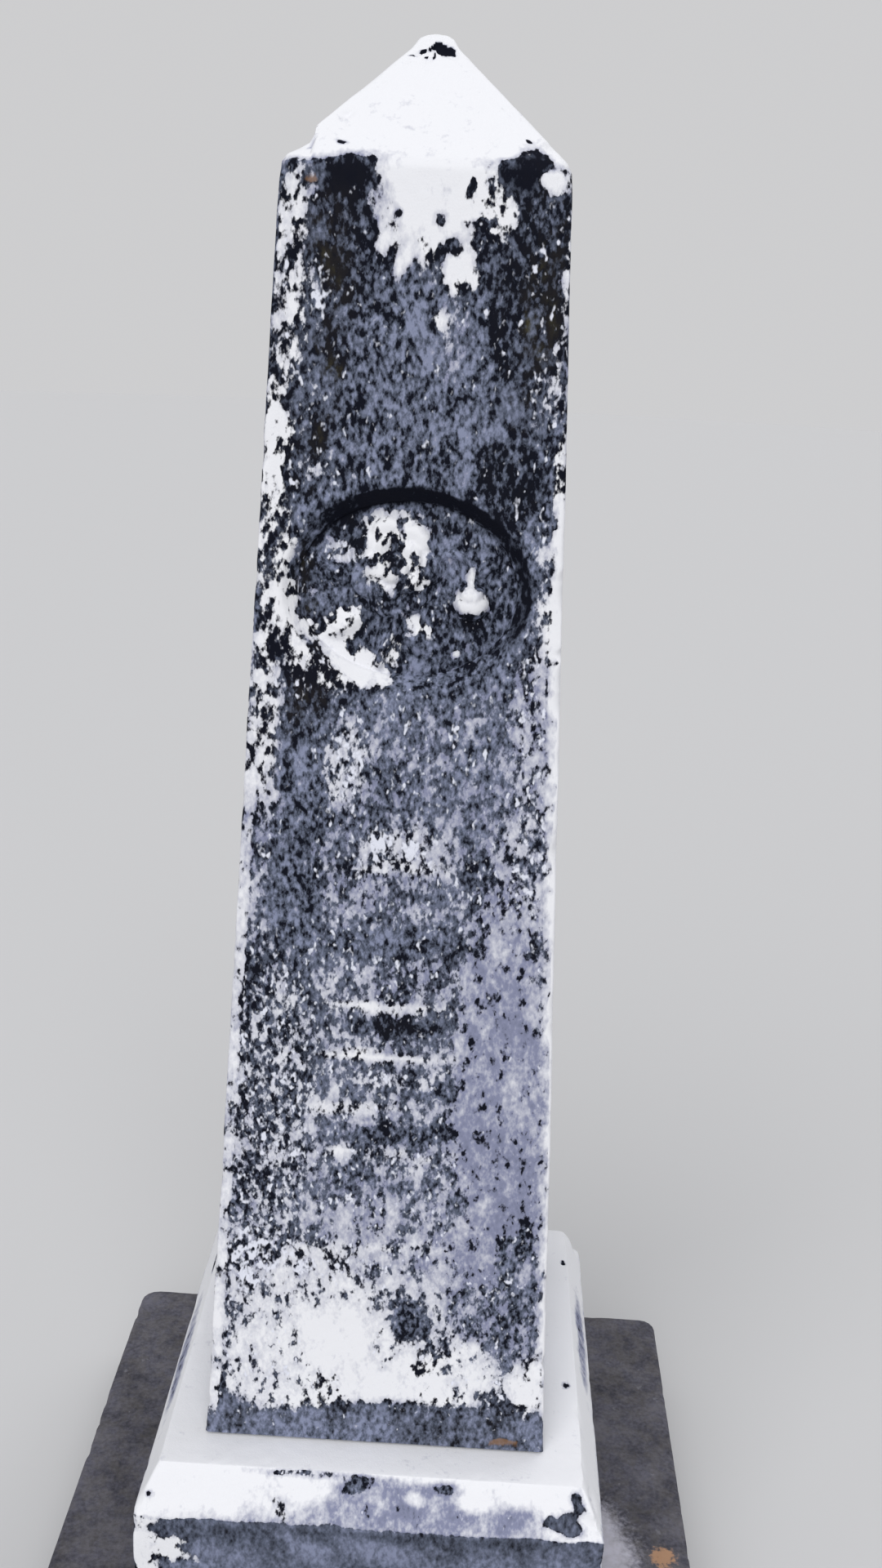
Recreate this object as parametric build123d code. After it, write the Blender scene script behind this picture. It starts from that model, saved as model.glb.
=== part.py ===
from build123d import *
import os
from math import atan2, cos, degrees, radians, sin

# A marble obelisk headstone: foundation stone, washed base and a one-piece shaft with a pointed cap.
# Millimetres. Origin at the middle of the underside, +Z up, carved face towards -Y.

# Foundation stone, the part that stands above the ground
foundation_width = 750
foundation_height = 110
foundation_edge_round = 14
foundation_corner_round = 26

# Base with a wash, a steep bevel that sheds rain, round its top
base_width = 490
base_height = 240
wash_run = 24
wash_drop = 50
base_arris_round = 3

# Shaft, tapered on all four sides, with a low pyramid on top that has lost its tip
foot_width = 360
eaves_width = 246
shaft_height = 1256
cap_height = 122
worn_tip_width = 14
shaft_arris_round = 4

# Mortar beds, raked back from the faces of the stones they carry
base_bed_thickness = 10
base_bed_rake = 8
shaft_bed_thickness = 3
shaft_bed_rake = 3

# Sunk oval panel high on the front, with a bevelled rim
panel_width = 226
panel_height = 185
panel_depth = 17
panel_bevel = 13
panel_middle_x = -2
panel_middle_rise = 902

# Relief on the panel's floor: its least distance from the bevel, and from the face in front of it
relief_margin = 8
relief_setback = 2

# Open rose, taller than wide, placed from the panel's middle with y up the face
rose_x = -12
rose_y = 19
rose_radius = 40
rose_stretch = 1.16
petal_rings = 3
outer_petals = 7
petal_rise = 7
ring_step = 2.4
heart_width = 14

# Bud that hangs head down at the right, its neck bent over like a crook towards the rose
bud_x = 56
bud_y = -9
bud_length = 32
bud_width = 34
bud_rise = 13
neck_length = 16
neck_thickness = 7
crook_radius = 18

# Stalk below the rose
stalk_length = 58
stalk_width = 9
stalk_rise = 6
stalk_lean = 68

# Leaves, each with the place it springs from, the way it points and its scale
leaf_length = 50
leaf_width = 27
leaf_rise = 8
leaf_root = 1
leaves_at = [(-43, 2, 157, 1.0), (-30, -16, 217, 1.0), (-9, -36, -28, 0.95), (57, 10, 44, 0.75)]

# Heights of the seats, from the ground up
base_bed_z = foundation_height
base_z = base_bed_z + base_bed_thickness
shaft_bed_z = base_z + base_height
shaft_z = shaft_bed_z + shaft_bed_thickness
eaves_z = shaft_z + shaft_height


def slope(run, rise):
    """Angle from upright, in degrees, of a face that moves in by run over a height of rise."""
    return degrees(atan2(run, rise))


shaft_inset = (foot_width - eaves_width) / 2
shaft_lean = slope(shaft_inset, shaft_height)


def square_block(width, z, height, lean=0):
    """A square block, upright or with all four sides leaning in by an angle."""
    return extrude(Pos(0, 0, z) * Rectangle(width, width), height, taper=lean)


def edges_above(solid, z):
    return solid.edges().filter_by(lambda edge: edge.center().Z > z)


def foundation_stone():
    block = square_block(foundation_width, 0, foundation_height)
    block = fillet(block.edges().filter_by(Axis.Z), foundation_corner_round)
    return fillet(block.faces().sort_by(Axis.Z)[-1].edges(), foundation_edge_round)


def mortar_bed(carried_width, rake, z, thickness):
    return square_block(carried_width - 2 * rake, z, thickness)


def marble_base():
    block = square_block(base_width, base_z, base_height - wash_drop)
    wash = square_block(base_width, shaft_bed_z - wash_drop, wash_drop, slope(wash_run, wash_drop))
    base = block + wash
    return fillet(edges_above(base, base_z + 1), base_arris_round)


def obelisk_body():
    column = square_block(foot_width, shaft_z, shaft_height, shaft_lean)
    worn_cap_height = cap_height * (1 - worn_tip_width / eaves_width)
    cap = square_block(eaves_width, eaves_z, worn_cap_height, slope(eaves_width / 2, cap_height))
    body = column + cap
    return fillet(edges_above(body, shaft_z + 1), shaft_arris_round)


def panel_plane():
    """Plane in the leaning front face, at the panel's middle, with y up the face."""
    face_y = foot_width / 2 - shaft_inset * panel_middle_rise / shaft_height
    lean = radians(shaft_lean)
    return Plane(
        origin=(panel_middle_x, -face_y, shaft_z + panel_middle_rise),
        x_dir=(1, 0, 0),
        z_dir=(0, -cos(lean), sin(lean)),
    )


def sunk_panel(body):
    """The body with the oval sunk into its front, cut straight and then bevelled at its mouth."""
    oval = Ellipse(panel_width / 2 - panel_bevel, panel_height / 2 - panel_bevel)
    sunk = body - extrude(panel_plane() * oval, -panel_depth)
    mouth_and_floor = sunk.edges().filter_by(GeomType.ELLIPSE).sort_by(SortBy.LENGTH)[-2:]
    return chamfer(mouth_and_floor.sort_by(Axis.Y)[0], panel_bevel)


def pad(length, width, rise):
    """A flattened ball, half of it above the floor, lying along x."""
    return scale(Sphere(1), by=(length / 2, width / 2, rise))


def petal_ring(ring):
    """One ring of petals round the rose's middle. Each ring in is smaller, higher and steeper."""
    share = 1 - ring / petal_rings
    count = outer_petals - 2 * ring
    length = rose_radius * (0.35 + 0.4 * share)
    reach = rose_radius * share - length / 2
    petal = Rot(0, -10 - 14 * ring, 0) * pad(length, 1.05 * length, petal_rise)
    petals = []
    for i in range(count):
        turn = 360 * (i + ring / 2) / count
        x = reach * cos(radians(turn))
        y = reach * sin(radians(turn)) * rose_stretch
        petals.append(Pos(x, y, ring * ring_step) * Rot(0, 0, turn) * petal)
    return petals


def rose():
    heart = Pos(0, 0, petal_rings * ring_step) * pad(heart_width, heart_width * rose_stretch, petal_rise)
    petals = [petal for ring in range(petal_rings) for petal in petal_ring(ring)]
    return Pos(rose_x, rose_y, 0) * heart.fuse(*petals)


def bud():
    """A closed bud wrapped in three sepals, with its neck and crook above it."""
    neck_y = bud_length / 2
    sepal = Pos(0, neck_y / 2, bud_rise / 2) * pad(0.3 * bud_width, 0.6 * bud_length, 0.6 * bud_rise)
    pieces = [Rot(0, 0, turn) * sepal for turn in (-32, 0, 32)]
    pieces.append(Pos(0, neck_y, 0) * Rot(90, 0, 0) * Cylinder(neck_thickness / 2, neck_length))
    crook = Torus(
        crook_radius,
        neck_thickness / 2,
        major_angle=180,
        align=(Align.CENTER, Align.MIN, Align.CENTER),
    )
    pieces.append(Pos(-crook_radius, neck_y + neck_length / 2, 0) * crook)
    return Pos(bud_x, bud_y, 0) * pad(bud_width, bud_length, bud_rise).fuse(*pieces)


def leaf(x, y, turn, share):
    """A pointed oval with a ridge, which is what two flat cones side by side have in common."""
    half = leaf_length / 2 * share
    bow = leaf_width / 2 * share
    radius = (half**2 + bow**2) / (2 * bow)
    rise = leaf_rise * share + leaf_root
    cone = Cone(radius, radius - bow, rise, align=(Align.CENTER, Align.CENTER, Align.MIN))
    blade = Pos(0, bow - radius, 0) * cone & Pos(0, radius - bow, 0) * cone
    return Pos(x, y, -leaf_root) * Rot(0, 0, turn) * Pos(half, 0, 0) * blade


def spray():
    """Rose, bud, stalk and leaves, as they lie on the floor of the panel that they were drawn for."""
    stalk = Rot(0, 0, stalk_lean) * pad(stalk_length, stalk_width, stalk_rise)
    stalk_y = rose_y - rose_radius * rose_stretch - stalk_length / 4
    leaves = [leaf(*place) for place in leaves_at]
    return rose().fuse(bud(), Pos(rose_x, stalk_y, 0) * stalk, *leaves)


def fitted(relief):
    """The relief drawn out or in as one until it fills the panel's floor or depth, less its margins."""
    box = relief.bounding_box()
    across = (panel_width / 2 - panel_bevel - relief_margin) / max(box.max.X, -box.min.X)
    upwards = (panel_height / 2 - panel_bevel - relief_margin) / max(box.max.Y, -box.min.Y)
    outwards = (panel_depth - relief_setback) / box.max.Z
    return scale(relief, by=min(across, upwards, outwards))


def obelisk_shaft():
    """Shaft, cap, sunk panel and relief, which are all cut in one block."""
    floor = panel_plane().offset(-panel_depth)
    return sunk_panel(obelisk_body()) + floor * fitted(spray())


def main():
    os.makedirs("parts", exist_ok=True)
    pieces = {
        "foundation_stone": foundation_stone(),
        "foundation_mortar_bed": mortar_bed(base_width, base_bed_rake, base_bed_z, base_bed_thickness),
        "marble_base": marble_base(),
        "shaft_setting_bed": mortar_bed(foot_width, shaft_bed_rake, shaft_bed_z, shaft_bed_thickness),
        "obelisk_shaft": obelisk_shaft(),
    }
    for name, piece in pieces.items():
        export_step(piece, f"parts/{name}.step")


main()
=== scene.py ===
from itertools import product
from math import atan2, cos, degrees, hypot, pi, radians, sin

import bpy
import numpy as np
from bpy.props import FloatProperty, FloatVectorProperty, IntProperty, PointerProperty
from mathutils import Matrix, Vector


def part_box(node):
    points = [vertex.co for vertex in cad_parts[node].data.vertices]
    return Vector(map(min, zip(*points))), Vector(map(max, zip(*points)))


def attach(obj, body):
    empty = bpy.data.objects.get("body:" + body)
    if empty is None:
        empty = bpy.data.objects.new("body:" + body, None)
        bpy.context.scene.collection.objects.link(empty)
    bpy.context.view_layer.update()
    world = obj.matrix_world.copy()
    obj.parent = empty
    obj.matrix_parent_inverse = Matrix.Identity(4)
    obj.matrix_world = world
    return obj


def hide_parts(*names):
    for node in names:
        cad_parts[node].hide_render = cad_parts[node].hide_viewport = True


bl_info = {
    "name": "Obelisk headstone",
    "version": (1, 0, 0),
    "blender": (4, 5, 0),
    "location": "3D View > Sidebar > Headstone",
    "description": "A weathered marble obelisk headstone, built round its packed frame",
    "category": "Add Mesh",
}

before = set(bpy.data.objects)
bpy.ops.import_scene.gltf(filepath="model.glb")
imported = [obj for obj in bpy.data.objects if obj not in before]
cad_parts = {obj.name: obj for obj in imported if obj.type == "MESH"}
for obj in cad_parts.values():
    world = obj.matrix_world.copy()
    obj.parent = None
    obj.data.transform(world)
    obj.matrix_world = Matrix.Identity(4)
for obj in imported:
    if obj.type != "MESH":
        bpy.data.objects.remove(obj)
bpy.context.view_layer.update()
SHAFT_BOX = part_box("obelisk_shaft")
BASE_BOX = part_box("marble_base")
STONE_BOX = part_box("foundation_stone")

MM = 0.001
SIDES = ("front", "right", "back", "left")
NORMALS = np.array([(0, -1), (1, 0), (0, 1), (-1, 0)], float)
TANGENTS = np.array([(1, 0), (0, 1), (-1, 0), (0, -1)], float)

# What a patch of each finish draws the weathering towards: how far grey film stains the marble, how
# much of it lichen covers, how dark that is and how far fine specks vary it, white flecks, brown
# growth and orange lichen.
FIELDS = ("film", "lichen", "tone", "grit", "flecks", "brown", "rust")
FINISHES = {
    "clean": (0.00, -0.60, 0.80, 0.2, 0.0, 0.0, 0.0),
    "bare": (0.05, 0.02, 0.85, 0.5, 0.0, 0.0, 0.0),
    "worn": (0.12, 0.26, 0.85, 0.5, 0.1, 0.0, 0.0),
    "chipped": (0.12, 0.38, 0.82, 0.5, 0.20, 0.0, 0.0),
    "flaked": (0.14, 0.46, 0.76, 0.7, 0.35, 0.0, 0.0),
    "pale": (0.36, 0.22, 0.68, 0.6, 0.3, 0.0, 0.0),
    "frost": (0.34, 0.46, 0.76, 0.6, 0.4, 0.0, 0.0),
    "salt": (0.52, 0.55, 0.62, 0.75, 0.50, 0.0, 0.0),
    "veil": (0.64, 0.14, 0.50, 0.5, 0.30, 0.0, 0.0),
    "mist": (0.58, 0.36, 0.30, 0.6, 0.42, 0.0, 0.0),
    "dusted": (0.30, 0.36, 0.36, 0.6, 0.40, 0.0, 0.0),
    "pepper": (0.64, 0.52, 0.43, 0.64, 0.42, 0.0, 0.0),
    "haze": (0.74, 0.56, 0.42, 0.8, 0.42, 0.0, 0.0),
    "sprinkle": (0.50, 0.50, 0.58, 0.8, 0.62, 0.0, 0.0),
    "drizzle": (0.62, 0.47, 0.52, 0.8, 0.52, 0.0, 0.0),
    "lavender": (0.70, 0.31, 0.58, 0.8, 0.24, 0.0, 0.0),
    "blue": (0.85, 0.80, 0.61, 0.90, 0.34, 0.0, 0.0),
    "slate": (0.85, 0.78, 0.64, 0.85, 0.32, 0.0, 0.0),
    "deep": (0.90, 0.88, 0.59, 0.80, 0.30, 0.0, 0.0),
    "ash": (0.85, 1.00, 0.20, 0.36, 0.1, 0.25, 0.0),
    "smoke": (0.92, 1.00, 0.41, 0.32, 0.0, 0.30, 0.0),
    "gloom": (0.95, 1.00, 0.65, 0.30, 0.0, 0.30, 0.0),
    "soot": (0.88, 0.84, 0.46, 0.55, 0.34, 0.40, 0.0),
    # dark and black also paint shade in places: the shadows under the rose and the bud, the notch in the cap
    # and the crescent under the panel's rim
    "dark": (0.85, 0.84, 1.00, 0.75, 0.38, 0.2, 0.0),
    "black": (1.00, 1.30, 1.15, 0.20, 0.0, 0.1, 0.0),
    "brown": (0.75, 0.78, 1.00, 0.75, 0.42, 0.9, 0.0),
    "olive": (0.85, 0.86, 0.66, 0.6, 0.24, 1.3, 0.0),
    "rust": (0.60, 0.60, 0.60, 0.5, 0.1, 0.4, 1.0),
}


# Sizes and colours


class ShaftSettings(bpy.types.PropertyGroup):
    eaves_width: FloatProperty(
        name="Eaves width", description="Width at the foot of the cap", default=0.246, unit="LENGTH"
    )
    cap_height: FloatProperty(
        name="Cap height",
        description="Height that the cap had when its tip was whole",
        default=0.122,
        unit="LENGTH",
    )
    panel_width: FloatProperty(
        name="Panel width",
        description="Width of the sunk oval at the face",
        default=0.226,
        unit="LENGTH",
    )
    panel_height: FloatProperty(
        name="Panel height",
        description="Height of the sunk oval at the face",
        default=0.185,
        unit="LENGTH",
    )
    panel_depth: FloatProperty(
        name="Panel depth",
        description="How far the oval's floor lies behind the face",
        default=0.017,
        unit="LENGTH",
    )
    panel_bevel: FloatProperty(
        name="Panel bevel",
        description="Width of the bevel round the oval",
        default=0.013,
        unit="LENGTH",
    )
    panel_rise: FloatProperty(
        name="Panel rise",
        description="Height of the oval's middle above the foot",
        default=0.902,
        unit="LENGTH",
    )
    wear: FloatProperty(
        name="Wear",
        description="How far rain has worn faces and arrises",
        default=1.0,
        min=0,
        max=2,
        subtype="FACTOR",
    )
    seed: IntProperty(name="Seed", description="Start of the noise that wears the shaft", default=11)


class BaseSettings(bpy.types.PropertyGroup):
    wash_run: FloatProperty(
        name="Wash run",
        description="How far the wash goes in from the face",
        default=0.024,
        unit="LENGTH",
    )
    wash_drop: FloatProperty(
        name="Wash drop", description="Height of the wash", default=0.050, unit="LENGTH"
    )
    wear: FloatProperty(
        name="Wear",
        description="How far rain has worn faces and arrises",
        default=1.0,
        min=0,
        max=2,
        subtype="FACTOR",
    )
    seed: IntProperty(name="Seed", description="Start of the noise that wears the base", default=23)


class FoundationSettings(bpy.types.PropertyGroup):
    pitch: FloatProperty(
        name="Pitch",
        description="Depth of the hollows in the pitched sides",
        default=0.011,
        unit="LENGTH",
    )
    seed: IntProperty(name="Seed", description="Start of the noise that shapes the stone", default=37)


class FinishSettings(bpy.types.PropertyGroup):
    marble: FloatVectorProperty(
        name="Marble",
        description="Bare marble",
        default=(0.84, 0.845, 0.88),
        subtype="COLOR",
        min=0,
        max=1,
    )
    film: FloatVectorProperty(
        name="Film",
        description="Thin lavender-grey film",
        default=(0.25, 0.265, 0.385),
        subtype="COLOR",
        min=0,
        max=1,
    )
    slate: FloatVectorProperty(
        name="Slate",
        description="Thick grey lichen",
        default=(0.096, 0.111, 0.157),
        subtype="COLOR",
        min=0,
        max=1,
    )
    # Black is also the colour of the painted shade under the panel's rim
    black: FloatVectorProperty(
        name="Black",
        description="Black crust",
        default=(0.0058, 0.0068, 0.0128),
        subtype="COLOR",
        min=0,
        max=1,
    )
    brown: FloatVectorProperty(
        name="Brown",
        description="Brown crust",
        default=(0.024, 0.021, 0.019),
        subtype="COLOR",
        min=0,
        max=1,
    )
    olive: FloatVectorProperty(
        name="Olive",
        description="Algae on the crust",
        default=(0.075, 0.066, 0.030),
        subtype="COLOR",
        min=0,
        max=1,
    )
    rust: FloatVectorProperty(
        name="Rust",
        description="Orange lichen",
        default=(0.33, 0.19, 0.11),
        subtype="COLOR",
        min=0,
        max=1,
    )
    fleck: FloatVectorProperty(
        name="Fleck",
        description="White flecks on the lichen",
        default=(0.78, 0.80, 0.90),
        subtype="COLOR",
        min=0,
        max=1,
    )
    stone: FloatVectorProperty(
        name="Stone",
        description="Foundation stone",
        default=(0.072, 0.071, 0.088),
        subtype="COLOR",
        min=0,
        max=1,
    )
    mortar: FloatVectorProperty(
        name="Mortar",
        description="Lime mortar",
        default=(0.36, 0.35, 0.33),
        subtype="COLOR",
        min=0,
        max=1,
    )


class StageSettings(bpy.types.PropertyGroup):
    floor: FloatVectorProperty(
        name="Floor",
        description="Floor and backdrop",
        default=(0.62, 0.62, 0.63),
        subtype="COLOR",
        min=0,
        max=1,
    )
    key: FloatProperty(
        name="Key",
        description="Strength of the soft light from the front",
        default=2.1,
        min=0,
    )
    fill: FloatProperty(
        name="Fill",
        description="Strength of the soft light from behind",
        default=0.7,
        min=0,
    )
    sky: FloatProperty(
        name="Sky",
        description="Strength of the even light from all round",
        default=0.38,
        min=0,
    )
    lens: FloatProperty(
        name="Lens",
        description="Focal length in mm",
        default=33.956,
        subtype="DISTANCE_CAMERA",
    )


class HeadstoneSettings(bpy.types.PropertyGroup):
    shaft: PointerProperty(type=ShaftSettings)
    base: PointerProperty(type=BaseSettings)
    foundation: PointerProperty(type=FoundationSettings)
    finish: PointerProperty(type=FinishSettings)
    stage: PointerProperty(type=StageSettings)


# Noise and small helpers


def smooth(low, high, value):
    """0 below low, 1 above high, and 3t² − 2t³ between."""
    t = np.clip((value - low) / (high - low), 0, 1)
    return t * t * (3 - 2 * t)


HASH_FACTORS = (73856093, 19349663, 83492791)
HASH_VALUES = 4096


def lattice(points, cell, seed):
    """Noise from -1 to 1: a random number at each corner of a lattice of cubes, blended by 3t² − 2t³."""
    table = np.random.default_rng(seed).uniform(-1, 1, HASH_VALUES)
    cells = points / cell
    corner = np.floor(cells).astype(np.int64)
    t = cells - corner
    t = t * t * (3 - 2 * t)
    total = np.zeros(points.shape[:-1])
    for step in product((0, 1), repeat=3):
        at = (corner + step) * HASH_FACTORS
        value = table[(at[..., 0] ^ at[..., 1] ^ at[..., 2]) & (HASH_VALUES - 1)]
        total += value * np.prod(np.where(step, t, 1 - t), axis=-1)
    return total


def fractal(points, cell, octaves, seed):
    """Lattice noise summed at halving sizes and halving heights, divided by the sum of the heights."""
    shares = 0.5 ** np.arange(octaves)
    layers = [share * lattice(points, cell * share, seed + i) for i, share in enumerate(shares)]
    return sum(layers) / shares.sum()


def hollows(points, cell, octaves, seed):
    """Fractal noise moved to run from 0 to 1, as (1 + noise) / 2."""
    return 0.5 + 0.5 * fractal(points, cell, octaves, seed)


PROFILE_STEP = 0.5 * MM


def rounded_profile(corners, rounding):
    """Places along a profile, one every half millimetre, and its lines there: half-width and height,
    with corners rounded by two moving averages, and its outward normal (dz, -dw) / length."""
    corners = np.array(corners, float)
    spans = np.hypot(*np.diff(corners, axis=0).T)
    lengths = np.concatenate([[0], np.cumsum(spans)])
    along = np.linspace(0, lengths[-1], int(lengths[-1] / PROFILE_STEP))
    window = np.ones(max(1, int(rounding / along[1])))
    window /= window.size
    pad = 2 * window.size
    rounded = []
    for values in corners.T:
        line = np.interp(along, lengths, values)
        before = line[0] + (line[1] - line[0]) * np.arange(-pad, 0)
        after = line[-1] + (line[-1] - line[-2]) * np.arange(1, pad + 1)
        padded = np.concatenate([before, line, after])
        padded = np.convolve(np.convolve(padded, window, "same"), window, "same")
        rounded.append(padded[pad:-pad])
    half, z = rounded
    dw, dz = np.gradient(half), np.gradient(z)
    size = np.hypot(dw, dz)
    return along, (half, z, dz / size, -dw / size)


def at_rows(rows, along, lines):
    """Each line of a profile, read off at the rows' places along it."""
    return [np.interp(rows, along, line) for line in lines]


def runs(*stops):
    """Values from stop to stop: each stop but the first brings the number of steps that lead to it."""
    values = [np.array([stops[0]])]
    for stop, steps in stops[1:]:
        values.append(np.linspace(values[-1][-1], stop, steps + 1)[1:])
    return np.concatenate(values)


# Round-cornered square walls

MOST_ROUND = 0.96


class Columns:
    """Columns round a square, side by side with the corner that follows each: t runs from -1 to 1
    along a straight, and a corner has a first leg, an arc from 0 to 90 degrees and a second leg."""

    LEGS = ((0.5, 0, 0), (1, 0, 0), (1, 22.5, 0), (1, 45, 0), (1, 67.5, 0), (1, 90, 0), (1, 90, 0.5))

    def __init__(self, straights):
        parts = []
        for side, t in enumerate(straights):
            parts.append([(side, s, 0, 0, 0, 0) for s in t])
            parts.append([(side, 1, 1, first, radians(arc), second) for first, arc, second in self.LEGS])
        table = np.array([row for part in parts for row in part], float)
        self.side = table[:, 0].astype(int)
        self.t, self.corner, self.first, self.arc, self.second = table[:, 1:].T
        n, s = NORMALS[self.side], TANGENTS[self.side]
        self.out = n * np.cos(self.arc)[:, None] + s * np.sin(self.arc)[:, None]
        self.n, self.s = n, s

    def wall(self, half, z, across, up, reach, radius):
        """Points and outward normals of a wall. A straight is half·n + (half − reach)·t·s. A corner
        starts at (half − reach)·(n + s), and adds reach − radius·(1 − cos arc) along n and
        radius·sin arc along s, with straight legs of reach − radius before and after the arc. A
        radius is held below the reach, so that the legs never close."""
        half, z, reach = half[:, None], z[:, None], reach[:, None]
        radius = np.minimum(radius[:, self.side], MOST_ROUND * reach)
        leg = reach - radius
        n_part = reach - radius * (1 - np.cos(self.arc)) - self.second * leg
        s_part = self.first * leg + radius * np.sin(self.arc)
        n_part = half - reach + np.where(self.corner > 0, n_part, reach)
        s_part = (half - reach) * self.t + np.where(self.corner > 0, s_part, 0)
        flat = n_part[..., None] * self.n + s_part[..., None] * self.s
        points = np.concatenate([flat, np.broadcast_to(z, n_part.shape)[..., None]], axis=-1)
        normals = np.empty_like(points)
        normals[..., :2] = self.out * across[:, None, None]
        normals[..., 2] = up[:, None]
        return points, normals


# Distance between the lines that the noise of two arrises is read from
ARRIS_APART = 3.7


def arris_radii(z, low, high, usual, spread, count, seed):
    """Radius of the four arrises at each height: a usual radius, noise, and a count of chips, each a
    bump of the form (1 − d²)² with d the distance from its middle over its half-length."""
    rng = np.random.default_rng(seed)
    radii = np.empty((z.size, 4))
    for corner in range(4):
        line = np.stack([np.full_like(z, corner * ARRIS_APART), np.zeros_like(z), z], axis=-1)
        radii[:, corner] = usual + spread * hollows(line, 0.05, 3, seed + 40 * corner)
        middle = rng.uniform(low, high, count)[:, None]
        length = rng.uniform(4, 26, count)[:, None] * MM
        depth = rng.uniform(1.0, 5.5, count)[:, None] ** 1.1 * MM
        bump = np.clip(1 - ((z - middle) / length) ** 2, 0, None) ** 2
        radii[:, corner] += (depth * bump).max(axis=0)
    return radii


def within(points, half):
    """Whether a point is nearer than half to the middle, both across and back."""
    return np.maximum(np.abs(points[..., 0]), np.abs(points[..., 1])) < half


SHARP_ANGLE = radians(38)


def stone_mesh(name, points, fields, node, material):
    """A closed stone: each four neighbours on the grid make a face, the last column joins the
    first, and a fan of triangles closes each end at a pole in the middle of its row."""
    rows, cols = points.shape[:2]
    index = np.arange(rows * cols).reshape(rows, cols)
    after = np.roll(index, -1, axis=1)
    squares = np.stack([index[:-1], after[:-1], after[1:], index[1:]], axis=-1).reshape(-1, 4)
    low, high = rows * cols, rows * cols + 1
    under = np.stack([after[0], index[0], np.full(cols, low)], axis=-1)
    over = np.stack([index[-1], after[-1], np.full(cols, high)], axis=-1)
    vertices = np.concatenate([points.reshape(-1, 3), [points[0].mean(axis=0), points[-1].mean(axis=0)]])
    mesh = bpy.data.meshes.new(name)
    mesh.from_pydata(vertices.tolist(), [], squares.tolist() + under.tolist() + over.tolist())
    for label, values in fields.items():
        ends = [values[0].mean(), values[-1].mean()]
        data = mesh.attributes.new(label, "FLOAT", "POINT").data
        data.foreach_set("value", np.concatenate([values.ravel(), ends]).astype(np.float32))
    mesh.polygons.foreach_set("use_smooth", np.ones(len(mesh.polygons), bool))
    mesh.set_sharp_from_angle(angle=SHARP_ANGLE)
    mesh.materials.append(material)
    mesh.validate()
    piece = bpy.data.objects.new(name, mesh)
    bpy.context.scene.collection.objects.link(piece)
    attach(piece, "root")
    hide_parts(node)
    return piece


# Weathering


def paint(x, height, ground, strokes):
    """Fields of one side. ground is a list of (height, finish) that the fields run between, and
    each stroke (finish, x, height, half-width, half-height, lean to the right in degrees) in mm
    draws them towards its finish, half as much on its oval as in the middle. Small ones are softer."""
    stops = [stop for stop, _ in ground]
    kinds = np.array([FINISHES[kind] for _, kind in ground])
    fields = [np.interp(height, stops, values) for values in kinds.T]
    for kind, cx, cz, rx, rz, lean in strokes:
        c, s = cos(radians(lean)), sin(radians(lean))
        u = ((x - cx) * c - (height - cz) * s) / rx
        v = ((x - cx) * s + (height - cz) * c) / rz
        soft = min(0.3 + 6 / (rx * rz) ** 0.5, 0.95)
        pull = 1 - smooth(1 - soft, 1 + soft, np.hypot(u, v))
        for i, value in enumerate(FINISHES[kind]):
            fields[i] += pull * (value - fields[i])
    return fields


def weather(points, columns, height, grounds, strokes, shakes, seed, loose=1.0):
    """Fields of a whole wall: each side is painted in its own mm, across and up, after both are
    shaken by noise where it is loose, and the four are blended by the square of how far a column
    faces each side."""
    shake = [fractal(points, 0.034, 3, seed + i) * size * loose for i, size in enumerate(shakes)]
    fields = [np.zeros(points.shape[:2]) for _ in FIELDS]
    total = np.zeros(len(columns.side))
    facing = np.clip(columns.out @ NORMALS.T, 0, None) ** 2
    for side, name in enumerate(SIDES):
        x = points[..., :2] @ TANGENTS[side] / MM + shake[0]
        painted = paint(x, height / MM + shake[1], grounds[name], strokes[name])
        for i, values in enumerate(painted):
            fields[i] += facing[:, side] * values
        total += facing[:, side]
    return {name: values / total for name, values in zip(FIELDS, fields)}


def levels(kind):
    """The fields of a finish by their names."""
    return dict(zip(FIELDS, FINISHES[kind]))


def draw(fields, where, values, share):
    """Draws the fields named in values towards them by a share, in part of a wall."""
    for name, value in values.items():
        fields[name][where] += share * (value - fields[name][where])


# The carved panel

# The block of grid lines on the front that bend round the oval: its half-sizes, and the shares of
# them at which the flat floor ends, the bevel starts and the mouth lies
BLOCK = (126 * MM, 106 * MM)
FLOOR_SHARE = 0.752
BEVEL_SHARE = 0.76
MOUTH_SHARE = 0.90


def block_levels(floor, bevel, rim):
    """Places of the grid lines across the block from end to end, as shares of its half-size, with
    so many steps over the floor, the bevel and the rim of face round the mouth."""
    half = runs(0, (FLOOR_SHARE, floor), (BEVEL_SHARE, 1), (MOUTH_SHARE, bevel), (1.0, rim))
    return np.concatenate([-half[:0:-1], half])


ACROSS_LEVELS = block_levels(53, 10, 8)
UP_LEVELS = block_levels(42, 9, 6)


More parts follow.
